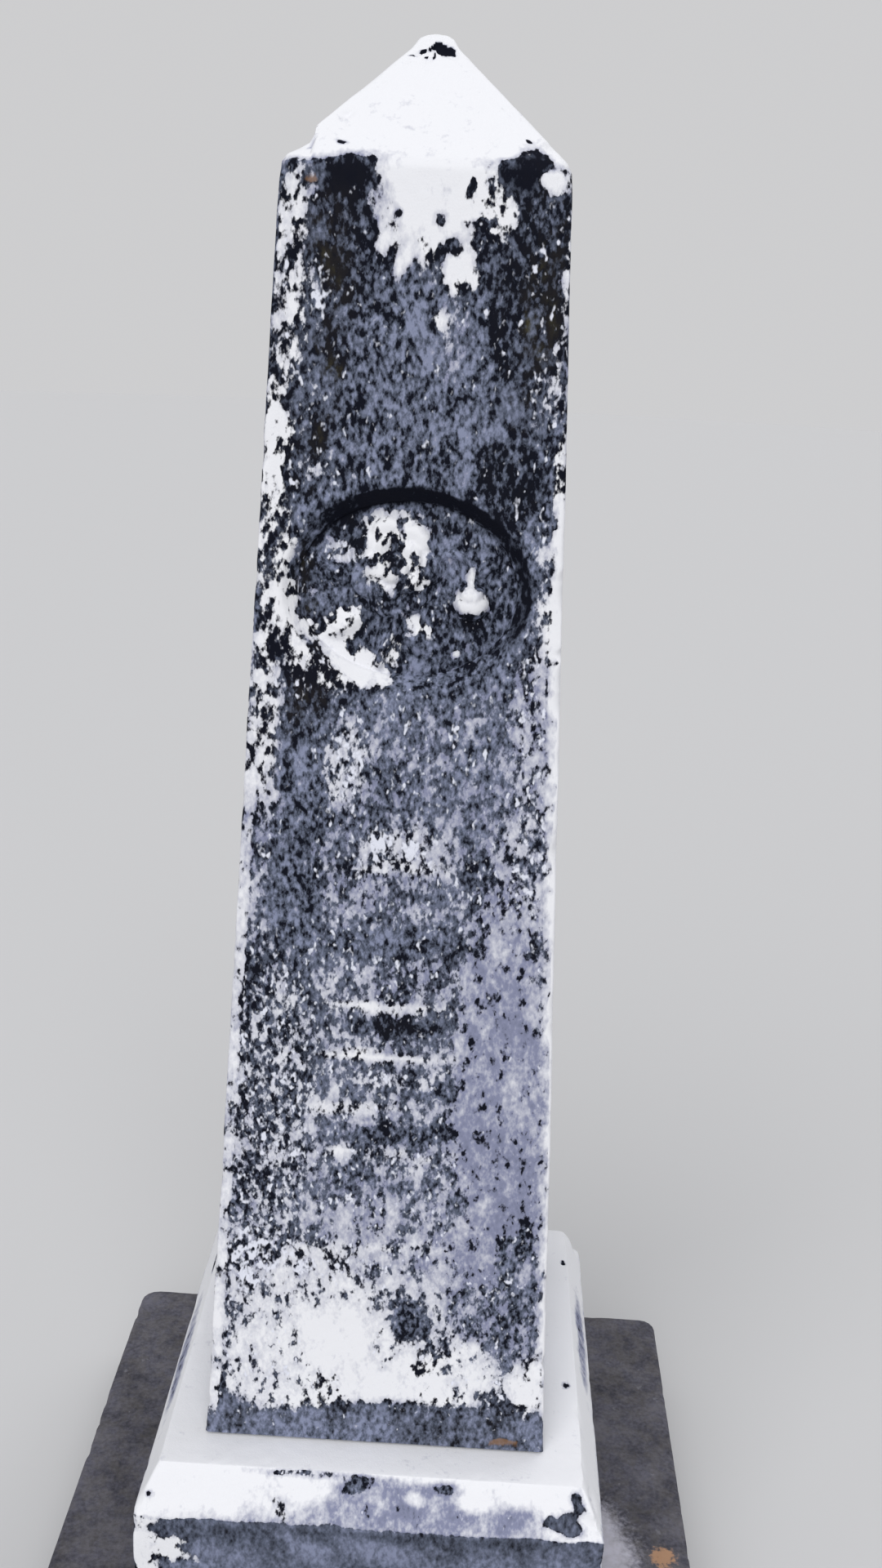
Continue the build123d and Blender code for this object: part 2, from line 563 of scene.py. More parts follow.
def block_to_oval(p, q, mouth, floor):
    """Places in the face of a square block of grid lines, bent so that its lines follow the oval.
    A line at share r of the block is the square ring max(|p|, |q|) = r. Its direction (a, b) on the
    ring is turned into (a·√(1 − b²/2), b·√(1 − a²/2)) on the circle. The ring's size runs in
    straight steps from the middle to the floor's edge, the mouth and the block's edge."""
    ring = np.maximum(np.abs(p), np.abs(q))
    safe = np.where(ring > 0, ring, 1)
    a, b = p / safe, q / safe
    ca, cb = a * np.sqrt(1 - b * b / 2), b * np.sqrt(1 - a * a / 2)
    bevel = np.clip((ring - BEVEL_SHARE) / (MOUTH_SHARE - BEVEL_SHARE), 0, 1)
    rim = np.clip((ring - MOUTH_SHARE) / (1 - MOUTH_SHARE), 0, 1)
    places = []
    for direction, circle, outer, inner, edge in zip((a, b), (ca, cb), mouth, floor, BLOCK):
        on_floor = circle * inner * np.minimum(ring / BEVEL_SHARE, 1)
        on_bevel = bevel * circle * (outer - inner)
        places.append(on_floor + on_bevel + rim * (direction * edge - circle * outer))
    return places[0], places[1], ring


def ball_top(x, y, z, size, turn=0, tilt=0):
    """Height of the upper side of a ball that is drawn out to size, tilted and turned, over its
    middle (x, y, z): the larger root of the quadratic p·M·p = 1 for each place, or -1 beside it."""
    ct, st = cos(radians(tilt)), sin(radians(tilt))
    cr, sr = cos(radians(turn)), sin(radians(turn))
    tilted = np.array([(ct, 0, st), (0, 1, 0), (-st, 0, ct)])
    turned = np.array([(cr, -sr, 0), (sr, cr, 0), (0, 0, 1)]) @ tilted
    m = turned @ np.diag(1 / np.array(size) ** 2) @ turned.T
    a = m[2, 2]
    b = m[0, 2] * x + m[1, 2] * y
    c = m[0, 0] * x * x + 2 * m[0, 1] * x * y + m[1, 1] * y * y - 1
    root = b * b - a * c
    return np.where(root > 0, z + (np.sqrt(np.clip(root, 0, None)) - b) / a, -1.0)


ROSE_RADIUS = 41.5 * MM
ROSE_STRETCH = 1.16
PETAL_RINGS = 3
OUTER_PETALS = 7
PETAL_RISE = 7.2 * MM
RING_STEP = 2.5 * MM
HEART_HEIGHT = 7.4 * MM
HEART_SIZE = (7.2 * MM, 8.4 * MM, 7.0 * MM)


def petal_top(x, y, reach, turn, size, tilt, z, cup):
    """A petal: a tilted ball at reach from the rose's middle, hollowed by cup, which falls off as
    exp(-(d / 0.55)²) with d the distance, by the petal's half-sizes, from a point a tenth of its
    half-length in from its middle."""
    cx, cy = reach * cos(turn), reach * sin(turn) * ROSE_STRETCH
    u = ((x - cx) * cos(turn) + (y - cy) * sin(turn)) / size[0]
    v = (-(x - cx) * sin(turn) + (y - cy) * cos(turn)) / size[1]
    top = ball_top(x - cx, y - cy, z, size, degrees(turn), tilt)
    dent = cup * np.exp(-(((u + 0.1) ** 2 + v * v) / 0.30))
    return np.where(top > 0, top - dent, top)


def rose_relief(x, y):
    """The open rose: three rings of cupped petals, seven, five and three, each ring in smaller,
    higher and steeper, and a heart coiled by a sine of the angle and the way out."""
    tops = []
    for ring in range(PETAL_RINGS):
        share = 1 - ring / PETAL_RINGS
        count = OUTER_PETALS - 2 * ring
        length = ROSE_RADIUS * (0.35 + 0.4 * share)
        reach = ROSE_RADIUS * share - length / 2
        size = (length / 2, 0.54 * length, PETAL_RISE)
        cup = (2.6 - 0.5 * ring) * MM
        for i in range(count):
            turn = 2 * pi * (i + ring / 2) / count
            tops.append(petal_top(x, y, reach, turn, size, -10 - 14 * ring, ring * RING_STEP, cup))
    heart = ball_top(x, y, HEART_HEIGHT, HEART_SIZE)
    coil = 0.8 * MM * np.sin(np.arctan2(y, x) + np.hypot(x, y) / (1.5 * MM))
    tops.append(np.where(heart > 0, heart + coil, heart))
    return np.max(tops, axis=0)


def leaf_relief(x, y, cx, cy, turn, share):
    """A pointed oval with a ridge: the lower of two flat cones side by side, with side veins."""
    half, bow, rise = 26 * MM * share, 14 * MM * share, 9 * MM * share
    radius = (half**2 + bow**2) / (2 * bow)
    c, s = cos(radians(turn)), sin(radians(turn))
    u = (x - cx) * c + (y - cy) * s - half
    v = -(x - cx) * s + (y - cy) * c
    far = np.maximum(np.hypot(u, v - (bow - radius)), np.hypot(u, v - (radius - bow)))
    veins = 0.45 * MM * np.sin((u - 0.8 * np.abs(v)) / (1.1 * MM)) * smooth(0.4, 2.5, np.abs(v) / MM)
    height = rise * (radius - far) / bow - MM
    return np.where(height > 0, height + veins * smooth(0, 1.5, height / MM), height)


def stroke_relief(x, y, line, radius):
    """A stem along a bent line: 1.5·√(radius² − d²) high, with d the way to the line."""
    line = np.array(line)
    starts, steps = line[:-1], np.diff(line, axis=0)
    best = np.full(x.shape, 1.0)
    for start, step in zip(starts, steps):
        share = np.clip(((x - start[0]) * step[0] + (y - start[1]) * step[1]) / (step @ step), 0, 1)
        away = np.hypot(x - start[0] - share * step[0], y - start[1] - share * step[1])
        best = np.minimum(best, away)
    return np.where(best < radius, np.sqrt(np.clip(radius**2 - best**2, 0, None)) * 1.5, -1.0)


# The spray is drawn in its own mm, from the panel's middle with y up the face
SPRAY_MM = 1.033 * MM
STALK = ((-6, -22), (-11, -38), (-20, -55), (-23, -68))
# Leaves: the place that each springs from, the way it points and its scale
LEAVES = ((-43, 2, 157, 1.0), (-30, -16, 217, 1.0), (-9, -36, -28, 0.95), (57, 10, 44, 0.75))


def spray_relief(x, y):
    """Height of the carving over the panel's floor, with x and y from the panel's middle: the
    highest of rose, bud, sepals, stems and leaves."""
    mm = SPRAY_MM
    bud_x, bud_y = 56 * mm, -9 * mm
    tops = [rose_relief(x + 12 * mm, y - 19 * mm)]
    tops.append(ball_top(x - bud_x, y - bud_y, 0, (17 * mm, 16 * mm, 13 * mm)))
    for turn in (-32, 0, 32):
        c, s = cos(radians(turn)), sin(radians(turn))
        sx, sy = bud_x - 8 * mm * s, bud_y + 8 * mm * c
        tops.append(ball_top(x - sx, y - sy, 6.5 * mm, (5.1 * mm, 9.6 * mm, 7.8 * mm), turn))
    arc = np.radians(np.linspace(0, 180, 15))
    crook = [(bud_x - 18 * mm + 18 * mm * cos(a), bud_y + 24 * mm + 18 * mm * sin(a)) for a in arc]
    tops.append(stroke_relief(x, y, [(bud_x, bud_y + 8 * mm)] + crook, 3.6 * mm))
    tops.append(stroke_relief(x, y, np.array(STALK) * mm, 4.0 * mm))
    for leaf_x, leaf_y, turn, share in LEAVES:
        tops.append(leaf_relief(x, y, leaf_x * mm, leaf_y * mm, turn, share * mm / MM))
    return np.clip(np.max(tops, axis=0), 0, None)


def blurred(values, times):
    """Each value averaged with its four neighbours, half and half, as often as times says."""
    for _ in range(times):
        padded = np.pad(values, 1, mode="edge")
        near = padded[:-2, 1:-1] + padded[2:, 1:-1] + padded[1:-1, :-2] + padded[1:-1, 2:]
        values = 0.5 * values + 0.125 * near
    return values


# Weathering of the shaft and a few painted shadows, in mm from the middle of the side and above the shaft's
# foot

SHAFT_GROUNDS = {
    "front": [
        (0, "soot"),
        (32, "soot"),
        (72, "salt"),
        (220, "pepper"),
        (560, "pepper"),
        (700, "haze"),
        (800, "haze"),
        (880, "slate"),
        (1262, "slate"),
        (1270, "clean"),
    ],
    "right": [
        (0, "pale"),
        (500, "frost"),
        (900, "pale"),
        (1150, "pepper"),
        (1258, "frost"),
        (1270, "clean"),
    ],
    "back": [
        (0, "pepper"),
        (500, "slate"),
        (900, "frost"),
        (1150, "slate"),
        (1262, "dark"),
        (1270, "clean"),
    ],
    "left": [
        (0, "frost"),
        (400, "pepper"),
        (900, "frost"),
        (1200, "slate"),
        (1262, "pepper"),
        (1270, "clean"),
    ],
}

FRONT_STROKES = [
    # Below the cap: dark blocks with a white tongue between them
    ("dark", -66, 1220, 22, 40, 0),
    ("slate", -55, 1180, 24, 36, 0),
    ("mist", -102, 1240, 18, 16, 0),
    ("flaked", -112, 1200, 14, 50, 0),
    ("dark", 84, 1160, 28, 105, 3),
    ("brown", 104, 1130, 22, 125, 3),
    ("brown", -84, 1120, 25, 104, 3),
    ("salt", -92, 1150, 12, 26, 0),
    ("salt", -84, 1076, 14, 20, 0),
    ("blue", -10, 1095, 60, 80, 0),
    ("haze", 30, 1120, 16, 40, 8),
    ("slate", -24, 1070, 30, 30, 0),
    ("bare", 6, 1256, 54, 16, 0),
    ("bare", 3, 1226, 39, 30, 0),
    ("worn", 44, 1232, 24, 24, 0),
    ("bare", -17, 1184, 7, 16, 28),
    ("worn", -30, 1200, 10, 16, 20),
    ("bare", 28, 1184, 14, 19, -8),
    ("flaked", 34, 1168, 14, 10, 0),
    ("flaked", 58, 1220, 18, 28, 0),
    ("worn", 16, 1135, 9, 8, 20),
    ("salt", 4, 1180, 8, 14, -15),
    ("worn", 3, 1196, 13, 14, 10),
    ("dark", 14, 1188, 3, 7, -10),
    ("black", 37, 1244, 2.8, 5.5, 8),
    ("dark", 54, 1246, 4.5, 5, 0),
    ("dark", -20, 1222, 3, 4, 0),
    ("dark", 14, 1214, 4.5, 5, 0),
    ("dark", 48, 1213, 10, 3, -5),
    ("dark", 25, 1194, 8, 7, 0),
    ("black", -68, 1246, 17, 12, 0),
    ("black", 84, 1252, 17, 16, 0),
    ("black", 92, 1267, 13, 11, 0),
    ("bare", 107, 1249, 11, 11, 0),
    ("olive", -95, 1202, 8, 14, 0),
    ("olive", -78, 1090, 9, 12, 0),
    ("olive", 92, 1138, 8, 12, 0),
    ("olive", 108, 1107, 8, 14, 0),
    ("olive", 84, 1070, 8, 12, 0),
    ("rust", -96, 1246, 7, 5, 0),
    # Painted shade in the notch where the cap's left corner broke off
    ("dark", -97, 1279, 2.5, 4, 0),
    ("black", -71, 1278, 5, 2, 0),
    ("black", 84, 1285, 4, 1.6, 20),
    ("frost", -112, 1120, 14, 130, 3),
    ("frost", 124, 1150, 4, 120, 3),
    ("salt", 112, 1060, 14, 40, 3),
    # Beside and above the panel
    ("chipped", -122, 1010, 16, 70, 3),
    ("brown", -92, 1030, 18, 42, 0),
    ("salt", -74, 1004, 22, 14, 20),
    ("dark", 96, 1015, 34, 34, 0),
    ("flaked", 134, 1000, 7, 70, 3),
    ("flaked", -126, 900, 14, 90, 3),
    ("sprinkle", 120, 900, 20, 64, 0),
    ("flaked", 132, 876, 12, 60, 0),
    ("frost", 118, 846, 20, 16, 20),
    ("drizzle", 122, 790, 24, 60, 0),
    # In the panel
    ("deep", -2, 902, 112, 92, 0),
    ("slate", 30, 905, 30, 30, 0),
    ("slate", 64, 850, 30, 24, 0),
    ("dark", 30, 962, 46, 12, -12),
    ("dark", -60, 958, 26, 18, 40),
    ("brown", -92, 912, 14, 30, -8),
    ("slate", -70, 920, 18, 22, 0),
    ("flaked", -108, 892, 6, 40, -8),
    ("chipped", -58, 868, 27, 17, -25),
    ("worn", -60, 861, 15, 9, 10),
    ("worn", -92, 868, 12, 7, 40),
    ("flaked", -50, 836, 34, 16, 28),
    ("bare", -72, 846, 9, 8, 40),
    ("bare", -57, 832, 12, 8, 35),
    ("bare", -34, 821, 16, 7, 10),
    ("worn", -36, 838, 8, 6, 0),
    ("flaked", -11, 846, 10, 18, 14),
    ("flaked", 12, 868, 18, 8, 30),
    ("bare", 44, 845, 3, 3, 0),
    ("salt", -14, 934, 33, 42, 0),
    ("sprinkle", -62, 934, 17, 14, 0),
    ("flaked", -18, 940, 28, 26, 20),
    ("chipped", -24, 954, 12, 13, 30),
    ("chipped", -32, 936, 12, 8, 0),
    ("chipped", 3, 950, 8, 14, -20),
    ("chipped", 2, 930, 9, 13, -10),
    ("flaked", -26, 912, 14, 10, 20),
    ("worn", 7, 909, 12, 8, 10),
    ("dark", -9, 958, 3, 8, -20),
    ("dark", -12, 940, 5, 5, 0),
    ("dark", -46, 944, 5, 10, 0),
    ("dark", -12, 924, 6, 5, 0),
    ("dark", -8, 908, 3, 7, 0),
    ("dark", -38, 924, 6, 4, 0),
    # Painted shadow under the rose
    ("dark", -14, 890, 30, 5, 0),
    ("olive", -87, 884, 10, 8, 0),
    ("worn", 57, 894, 16, 11, 0),
    ("bare", 56, 896, 10, 8, 0),
    ("bare", 54, 914, 4, 10, 0),
    # Painted shadow under the bud
    ("dark", 52, 874, 16, 5, 0),
    # From the panel to the inscription
    ("brown", -88, 796, 18, 50, 5),
    ("slate", -85, 726, 22, 56, 5),
    ("frost", -130, 770, 16, 80, 2),
    ("sprinkle", -50, 738, 18, 40, 0),
    ("sprinkle", 4, 660, 40, 22, 0),
    ("slate", -98, 600, 27, 60, 0),
    ("pepper", -138, 540, 16, 120, 2),
    ("drizzle", 122, 650, 28, 130, 2),
    # Inscription
    ("frost", -4, 640, 58, 4, 0),
    ("slate", 0, 566, 62, 12, 0),
    ("frost", -6, 498, 62, 5, 0),
    ("dark", 10, 478, 60, 8, 0),
    ("worn", -26, 499, 24, 4, 0),
    ("frost", -18, 446, 62, 5, 0),
    ("worn", -20, 446, 36, 4, 0),
    ("worn", -36, 390, 16, 5, 0),
    ("worn", -46, 340, 10, 4, 0),
    ("worn", 11, 338, 8, 3.5, 0),
    ("worn", 41, 337, 7, 3.5, 0),
    ("slate", 22, 414, 52, 9, 0),
    ("salt", 6, 418, 40, 10, 0),
    ("frost", -40, 389, 44, 5, 0),
    ("slate", 10, 361, 54, 8, 0),
    ("salt", -8, 337, 56, 5, 0),
    ("haze", 10, 296, 70, 20, 0),
    ("mist", -10, 256, 80, 34, 0),
    ("frost", 20, 234, 50, 4, -3),
    # Right and left of the inscription
    ("lavender", 112, 390, 44, 190, -4),
    ("lavender", 112, 200, 46, 80, -4),
    ("haze", 140, 210, 26, 60, 0),
    ("haze", 96, 170, 24, 26, 20),
    ("dark", -130, 500, 14, 60, 2),
    ("salt", -118, 400, 44, 150, 0),
    # Foot
    ("frost", -74, 206, 66, 30, 0),
    ("sprinkle", -128, 206, 34, 44, 0),
    ("sprinkle", -60, 206, 60, 14, 0),
    ("mist", 30, 206, 60, 26, 0),
    ("dusted", -50, 150, 100, 50, 0),
    ("bare", -56, 118, 66, 34, 0),
    ("bare", 2, 78, 44, 30, 0),
    ("flaked", -90, 62, 60, 24, 0),
    ("dusted", -116, 92, 46, 60, 0),
    ("dusted", 4, 112, 16, 24, 0),
    ("salt", -166, 120, 12, 90, 2),
    ("slate", 26, 152, 20, 20, 0),
    ("dark", 36, 140, 12, 9, 0),
    ("flaked", 74, 84, 46, 34, 0),
    ("worn", 62, 66, 26, 12, 0),
    ("dusted", 108, 88, 46, 34, 0),
    ("haze", 140, 140, 30, 50, 0),
    ("soot", -20, 10, 200, 18, 0),
    ("worn", 158, 78, 16, 36, 0),
    ("rust", 132, 5, 20, 5, 0),
]

SHAFT_STROKES = {
    "front": FRONT_STROKES,
    "right": [
        ("slate", -70, 1160, 30, 90, -2),
        ("brown", -92, 1140, 14, 110, -3),
        ("slate", 44, 1190, 26, 60, 4),
        ("brown", 88, 1150, 18, 110, 3),
        ("worn", -14, 1226, 34, 40, 3),
        ("frost", 4, 1150, 20, 60, -4),
        ("haze", 20, 1010, 60, 70, 5),
        ("slate", -96, 920, 18, 150, -3),
        ("lavender", -30, 820, 40, 130, 2),
        ("pepper", 70, 800, 40, 140, 3),
        ("lavender", 60, 560, 60, 150, 4),
        ("frost", -70, 600, 50, 120, -3),
        ("pepper", -120, 420, 26, 180, -3),
        ("worn", 20, 330, 50, 120, 6),
        ("lavender", 110, 300, 40, 130, 3),
        ("frost", -40, 170, 90, 40, 0),
        ("worn", 30, 96, 100, 34, 3),
        ("slate", 140, 110, 26, 90, 2),
        ("soot", 0, 12, 190, 20, 0),
    ],
    "back": [
        ("brown", -84, 1150, 24, 110, -3),
        ("dark", 62, 1180, 30, 90, 3),
        ("brown", 100, 1100, 18, 150, 3),
        ("worn", -6, 1240, 40, 24, 0),
        ("frost", -16, 1196, 18, 40, 8),
        ("blue", 0, 1060, 56, 110, 0),
        ("dark", 84, 900, 34, 120, 3),
        ("olive", 70, 940, 16, 50, 6),
        ("frost", -108, 940, 18, 140, -3),
        ("haze", -30, 800, 60, 110, 3),
        ("slate", 30, 640, 80, 90, 4),
        ("sprinkle", -70, 620, 34, 90, -3),
        ("brown", 118, 600, 24, 140, 3),
        ("lavender", -100, 400, 50, 150, -4),
        ("pepper", 60, 400, 70, 120, 0),
        ("frost", -20, 220, 90, 60, 4),
        ("dusted", -60, 120, 110, 44, -3),
        ("worn", -90, 96, 50, 22, 6),
        ("worn", 10, 82, 70, 16, -4),
        ("dark", 110, 160, 50, 60, 0),
        ("soot", 0, 14, 200, 24, 0),
    ],
    "left": [
        ("slate", -50, 1180, 34, 80, -3),
        ("brown", -92, 1130, 18, 130, -3),
        ("dark", 66, 1150, 28, 110, 3),
        ("olive", 84, 1090, 14, 50, 5),
        ("worn", 8, 1236, 40, 28, 0),
        ("frost", 14, 1170, 16, 50, -5),
        ("blue", -10, 1040, 50, 90, 0),
        ("pepper", 90, 920, 26, 130, 3),
        ("slate", -80, 860, 40, 110, -3),
        ("haze", 30, 800, 60, 110, 0),
        ("sprinkle", -40, 640, 60, 80, 4),
        ("dark", 118, 620, 22, 130, 3),
        ("lavender", -110, 470, 40, 170, -4),
        ("pepper", 50, 420, 70, 120, 0),
        ("frost", 10, 210, 110, 60, -3),
        ("dusted", 20, 120, 130, 44, 0),
        ("worn", 70, 92, 60, 20, 8),
        ("worn", -40, 130, 34, 22, -20),
        ("slate", -130, 130, 34, 80, 0),
        ("soot", 0, 14, 200, 22, 0),
    ],
}


# Arrises that rain washes: side before it, share, height from which it is unbroken, height where it
# ends, and how much of it the start of the corner takes
ARRISES = (
    (0, 1.0, 590, 1010, 1.15),
    (3, 0.55, 760, 760, 0.5),
    (1, 0.6, 1200, 1200, 0.5),
    (2, 0.6, 1200, 1200, 0.5),
)


def wash_arris(fields, points, columns, height, arris, seed):
    """Draws the arris after a side towards bare marble, by a share that noise breaks up less from
    one height on, and that ends at another."""
    side, share, whole_from, end, beside = arris
    rise = height / MM
    worn = share * (1 - smooth(end - 60, end + 20, rise)) * smooth(10, 40, rise)
    whole = smooth(whole_from - 60, whole_from + 60, rise)
    worn = worn * smooth(-0.5 - 0.4 * whole, 0.1 - 0.4 * whole, fractal(points, 0.03, 3, seed))
    ragged = 0.3 + 0.8 * smooth(-0.4, 0.3, fractal(points, 0.009, 2, seed + 1))
    start = beside * columns.corner * columns.first * (0.5 + 0.5 * whole) * ragged
    reach = np.where(columns.arc > 0, 1.0, start)
    draw(fields, ..., levels("bare"), (columns.side == side) * np.minimum(reach * worn, 1))


def eaves_shoulder(z, low):
    """Extra radius of the arrises near the eaves, 5.5 mm · exp(−d²) with d the height over them by
    12 mm, and 2 mm more at the front right."""
    near = np.exp(-(((z - low) / (12 * MM)) ** 2))
    extra = np.repeat((5.5 * MM * near)[:, None], 4, axis=1)
    extra[:, 0] += 2 * MM * near
    return extra


def pits(points, count, low, high, width, depth, seed):
    """Small round hollows at seeded places of a box, with radii of 0.4 to 1 of width. Each is
    depth·(radius / width)·(1 − d²)² deep at the share d of its radius from its middle. Where two
    meet, the deeper one counts."""
    rng = np.random.default_rng(seed)
    middles = rng.uniform(low, high, (count, 3))
    sizes = rng.uniform(0.4, 1.0, count) * width
    deepest = np.zeros(points.shape[:-1])
    for middle, size in zip(middles, sizes):
        near = np.clip(1 - ((points - middle) ** 2).sum(axis=-1) / size**2, 0, None) ** 2
        deepest = np.maximum(deepest, depth * size / width * near)
    return deepest


# Chips: middle and radius of the ball that bounds each, and its depth, all in mm

SHAFT_CHIPS = (
    (-70, -84, 1660, 6, 2.0),
    (104, -106, 1640, 9, 3.0),
    (168, -172, 470, 12, 3.5),
    (-172, -170, 395, 10, 3.0),
    (150, -150, 1030, 9, 2.5),
    (120, 128, 1600, 14, 5.0),
    (-140, 144, 1210, 10, 3.5),
)
BASE_CHIPS = (
    (222, -236, 318, 22, 4.0),
    (236, -214, 338, 14, 2.6),
    (-236, -238, 322, 12, 3.0),
    (-20, -232, 350, 9, 1.4),
    (208, -70, 361, 5, 2.0),
    (216, 152, 361, 4, 1.8),
    (230, 232, 330, 18, 4.0),
)


def chips(points, places, seed):
    """Depth of chips: full to 0.45 of the way out from a middle and none past its radius, with the
    way out shaken by noise. Where two meet, the deeper one counts."""
    rough = 0.25 * fractal(points, 0.010, 3, seed)
    deepest = np.zeros(points.shape[:-1])
    for x, y, z, size, depth in places:
        away = np.sqrt(((points - np.array([x, y, z]) * MM) ** 2).sum(axis=-1)) / (size * MM)
        deepest = np.maximum(deepest, depth * MM * (1 - smooth(0.45, 1.0, away + rough)))
    return deepest


def crack_share(points, top):
    """Share of its full depth that the crack under the cap's worn knob has at each place of the
    front: a groove that runs down along an arch to both sides, thick at its right end, and a short
    curl under its middle."""
    x, drop = points[..., 0] / MM, (top - points[..., 2]) / MM
    wander = 3.4 * fractal(points, 0.007, 2, 71)
    arch = 12 + np.where(x < 0, 0.026, 0.012) * x**2 + wander
    thick = 2.0 + 2.6 * smooth(-4, 4, x)
    groove = np.exp(-(((drop - arch) / thick) ** 4)) * (1 - smooth(17, 21, np.abs(x + 1)))
    shown = np.maximum(smooth(-3, 0, x), smooth(19, 21, drop))
    curl = np.exp(-(((np.hypot(x + 5, drop - 18 + wander) - 4.5) / 1.1) ** 2)) * shown
    return np.maximum(groove, 0.75 * curl) * (points[..., 1] < 0)


def spall(points, low):
    """How far the front of the cap's left side has dropped, where a piece broke off the corner:
    0.38 of its height over the eaves, left of a ragged step. It fades out 20 to 40 mm behind the
    side's middle."""
    rough = 3 * fractal(points, 0.014, 3, 83)
    out, back = -points[..., 0] / MM + rough, points[..., 1] / MM + 4 * rough
    broken = smooth(95.5, 97.5, out) * (1 - smooth(20, 40, back))
    return 0.38 * broken * np.clip(points[..., 2] - low, 0, None)


# Rows of lettering: middle above the foot, half-height, left and right ends, in mm
LETTERING = (
    (648, 9, -62, 70),
    (560, 11, -66, 78),
    (500, 9, -70, 76),
    (446, 9, -68, 74),
    (391, 8, -64, 70),
    (340, 8, -66, 72),
    (288, 7, -58, 66),
    (245, 7, -62, 70),
)


def worn_rows(points, foot):
    """Depth of the rows of lettering, worn past reading: round each row's height, strokes of noise
    that is drawn out upwards, fading out at the row's ends."""
    rise = (points[..., 2] - foot) / MM
    total = np.zeros(rise.shape)
    squeezed = points * (1, 1, 0.35)
    cuts = smooth(0.0, 0.6, lattice(squeezed, 0.0065, 91))
    for middle, half_height, left, right in LETTERING:
        row = 1 - smooth(0.6, 1.1, np.abs(rise - middle) / half_height)
        x = points[..., 0] / MM
        row = row * smooth(left - 6, left + 4, x) * (1 - smooth(right - 4, right + 6, x))
        total += row * (0.35 + 0.9 * cuts)
    return total * MM * (points[..., 1] < 0)


# Width of the worn tip, half-width of the knob's foot, how far a corner reaches along each side of
# it, and the panel's place across the face
WORN_TIP_WIDTH = 14 * MM
KNOB_FOOT = 21 * MM
CORNER_REACH = 14 * MM
PANEL_X = -2 * MM

# Crust in the crack under the knob; crust and painted shade in the hollows of the relief
CRACK_CRUST = {"lichen": 1.5, "tone": 1.2, "film": 1.0}
HOLLOW_CRUST_AND_SHADE = {"lichen": 0.9, "tone": 0.95, "film": 1.0}


class Outline:
    """Heights and half-widths of the shaft, which leans in from its foot to the eaves, and of the
    cap over them, whose sides would meet in a point."""

    def __init__(self, sizes):
        low, high = SHAFT_BOX
        self.low, self.top = low.z, high.z
        self.foot, self.eaves = (high.x - low.x) / 2, sizes.eaves_width / 2
        self.cap_height = sizes.cap_height
        self.cap_low = high.z - sizes.cap_height * (1 - WORN_TIP_WIDTH / sizes.eaves_width)
        self.height = self.cap_low - self.low
        self.lean = atan2(self.foot - self.eaves, self.height)
        self.run = hypot(self.height, self.foot - self.eaves)
        self.cap_run = hypot(self.eaves - KNOB_FOOT, self.on_cap(KNOB_FOOT) - self.cap_low)

    def half_at(self, z):
        """Half-width of the shaft at a height: foot − (foot − eaves)·(z − low) / height."""
        return self.foot - (self.foot - self.eaves) * (z - self.low) / self.height

    def on_cap(self, half):
        """Height at which the cap has a half-width: its point less half·cap height / eaves."""
        return self.cap_low + self.cap_height - half * self.cap_height / self.eaves

    def profile(self):
        """The way up from the foot, over the eaves, to the knob that rain has left of the tip."""
        corners = [
            (self.foot, self.low),
            (self.eaves, self.cap_low),
            (self.eaves - 4 * MM, self.cap_low + 8.5 * MM),
            (22 * MM, self.on_cap(22 * MM) + 3.2 * MM),
            (16 * MM, self.top - 2.5 * MM),
            (9 * MM, self.top + 1.5 * MM),
            (1 * MM, self.top + 2.5 * MM),
        ]
        return rounded_profile(corners, 4 * MM)

    def rows(self, block_rows, end):
        """Places of the rows up the profile, closer at the eaves and the knob. Those at the panel
        are the block's, and a slice says which."""
        below = runs(0, (1.5 * MM, 1), (4 * MM, 1), (block_rows[0], 131))[:-1]
        above = runs(
            block_rows[-1],
            (self.run - 9 * MM, 43),
            (self.run + 9 * MM, 8),
            (self.run + 48 * MM, 18),
            (self.run + self.cap_run - 14 * MM, 23),
            (end, 22),
        )[1:]
        return np.concatenate([below, block_rows, above]), slice(below.size, below.size + block_rows.size)


def panel_face(sizes, outline, block_edge):
    """Places x and y from the oval's middle, ring and points of the block, in the plane of the front
    face. At the block's edge its lines are the wall's, which lean in with the taper."""
    p, q = np.meshgrid(ACROSS_LEVELS, UP_LEVELS)
    mouth = (sizes.panel_width / 2, sizes.panel_height / 2)
    floor = (mouth[0] - sizes.panel_bevel, mouth[1] - sizes.panel_bevel)
    x, y, ring = block_to_oval(p, q, mouth, floor)
    middle = outline.low + sizes.panel_rise
    edge_half = outline.half_at(middle + q * BLOCK[1] * cos(outline.lean))
    taper = (edge_half - CORNER_REACH) * block_edge / BLOCK[0]
    blend = smooth(MOUTH_SHARE, 1.0, ring)
    face_x = x * (1 + blend * (taper - 1)) + (1 - blend) * PANEL_X
    face_z = middle + y * cos(outline.lean)
    return x, y, ring, np.stack([face_x, -outline.half_at(face_z), face_z], axis=-1)


def panel_depth(sizes, ring):
    """Depth of the sunk oval: ln(1 + exp d) with d the way in from the mouth in mm, which rounds the
    mouth, as far as the bevel's foot, and the full depth inside it. On either side of the bevel a
    ring of 1 counts as ring_mm."""
    bevel = sizes.panel_bevel / MM
    ring_mm = 130
    inward = bevel * (MOUTH_SHARE - ring) / (MOUTH_SHARE - BEVEL_SHARE)
    inward = np.where(ring < BEVEL_SHARE, bevel + (BEVEL_SHARE - ring) * ring_mm, inward)
    inward = np.where(ring > MOUTH_SHARE, (MOUTH_SHARE - ring) * ring_mm, inward)
    sloped = np.minimum(np.logaddexp(0, inward), bevel + 0.2)
    return np.where(ring > (FLOOR_SHARE + BEVEL_SHARE) / 2, sloped, sizes.panel_depth / MM) * MM


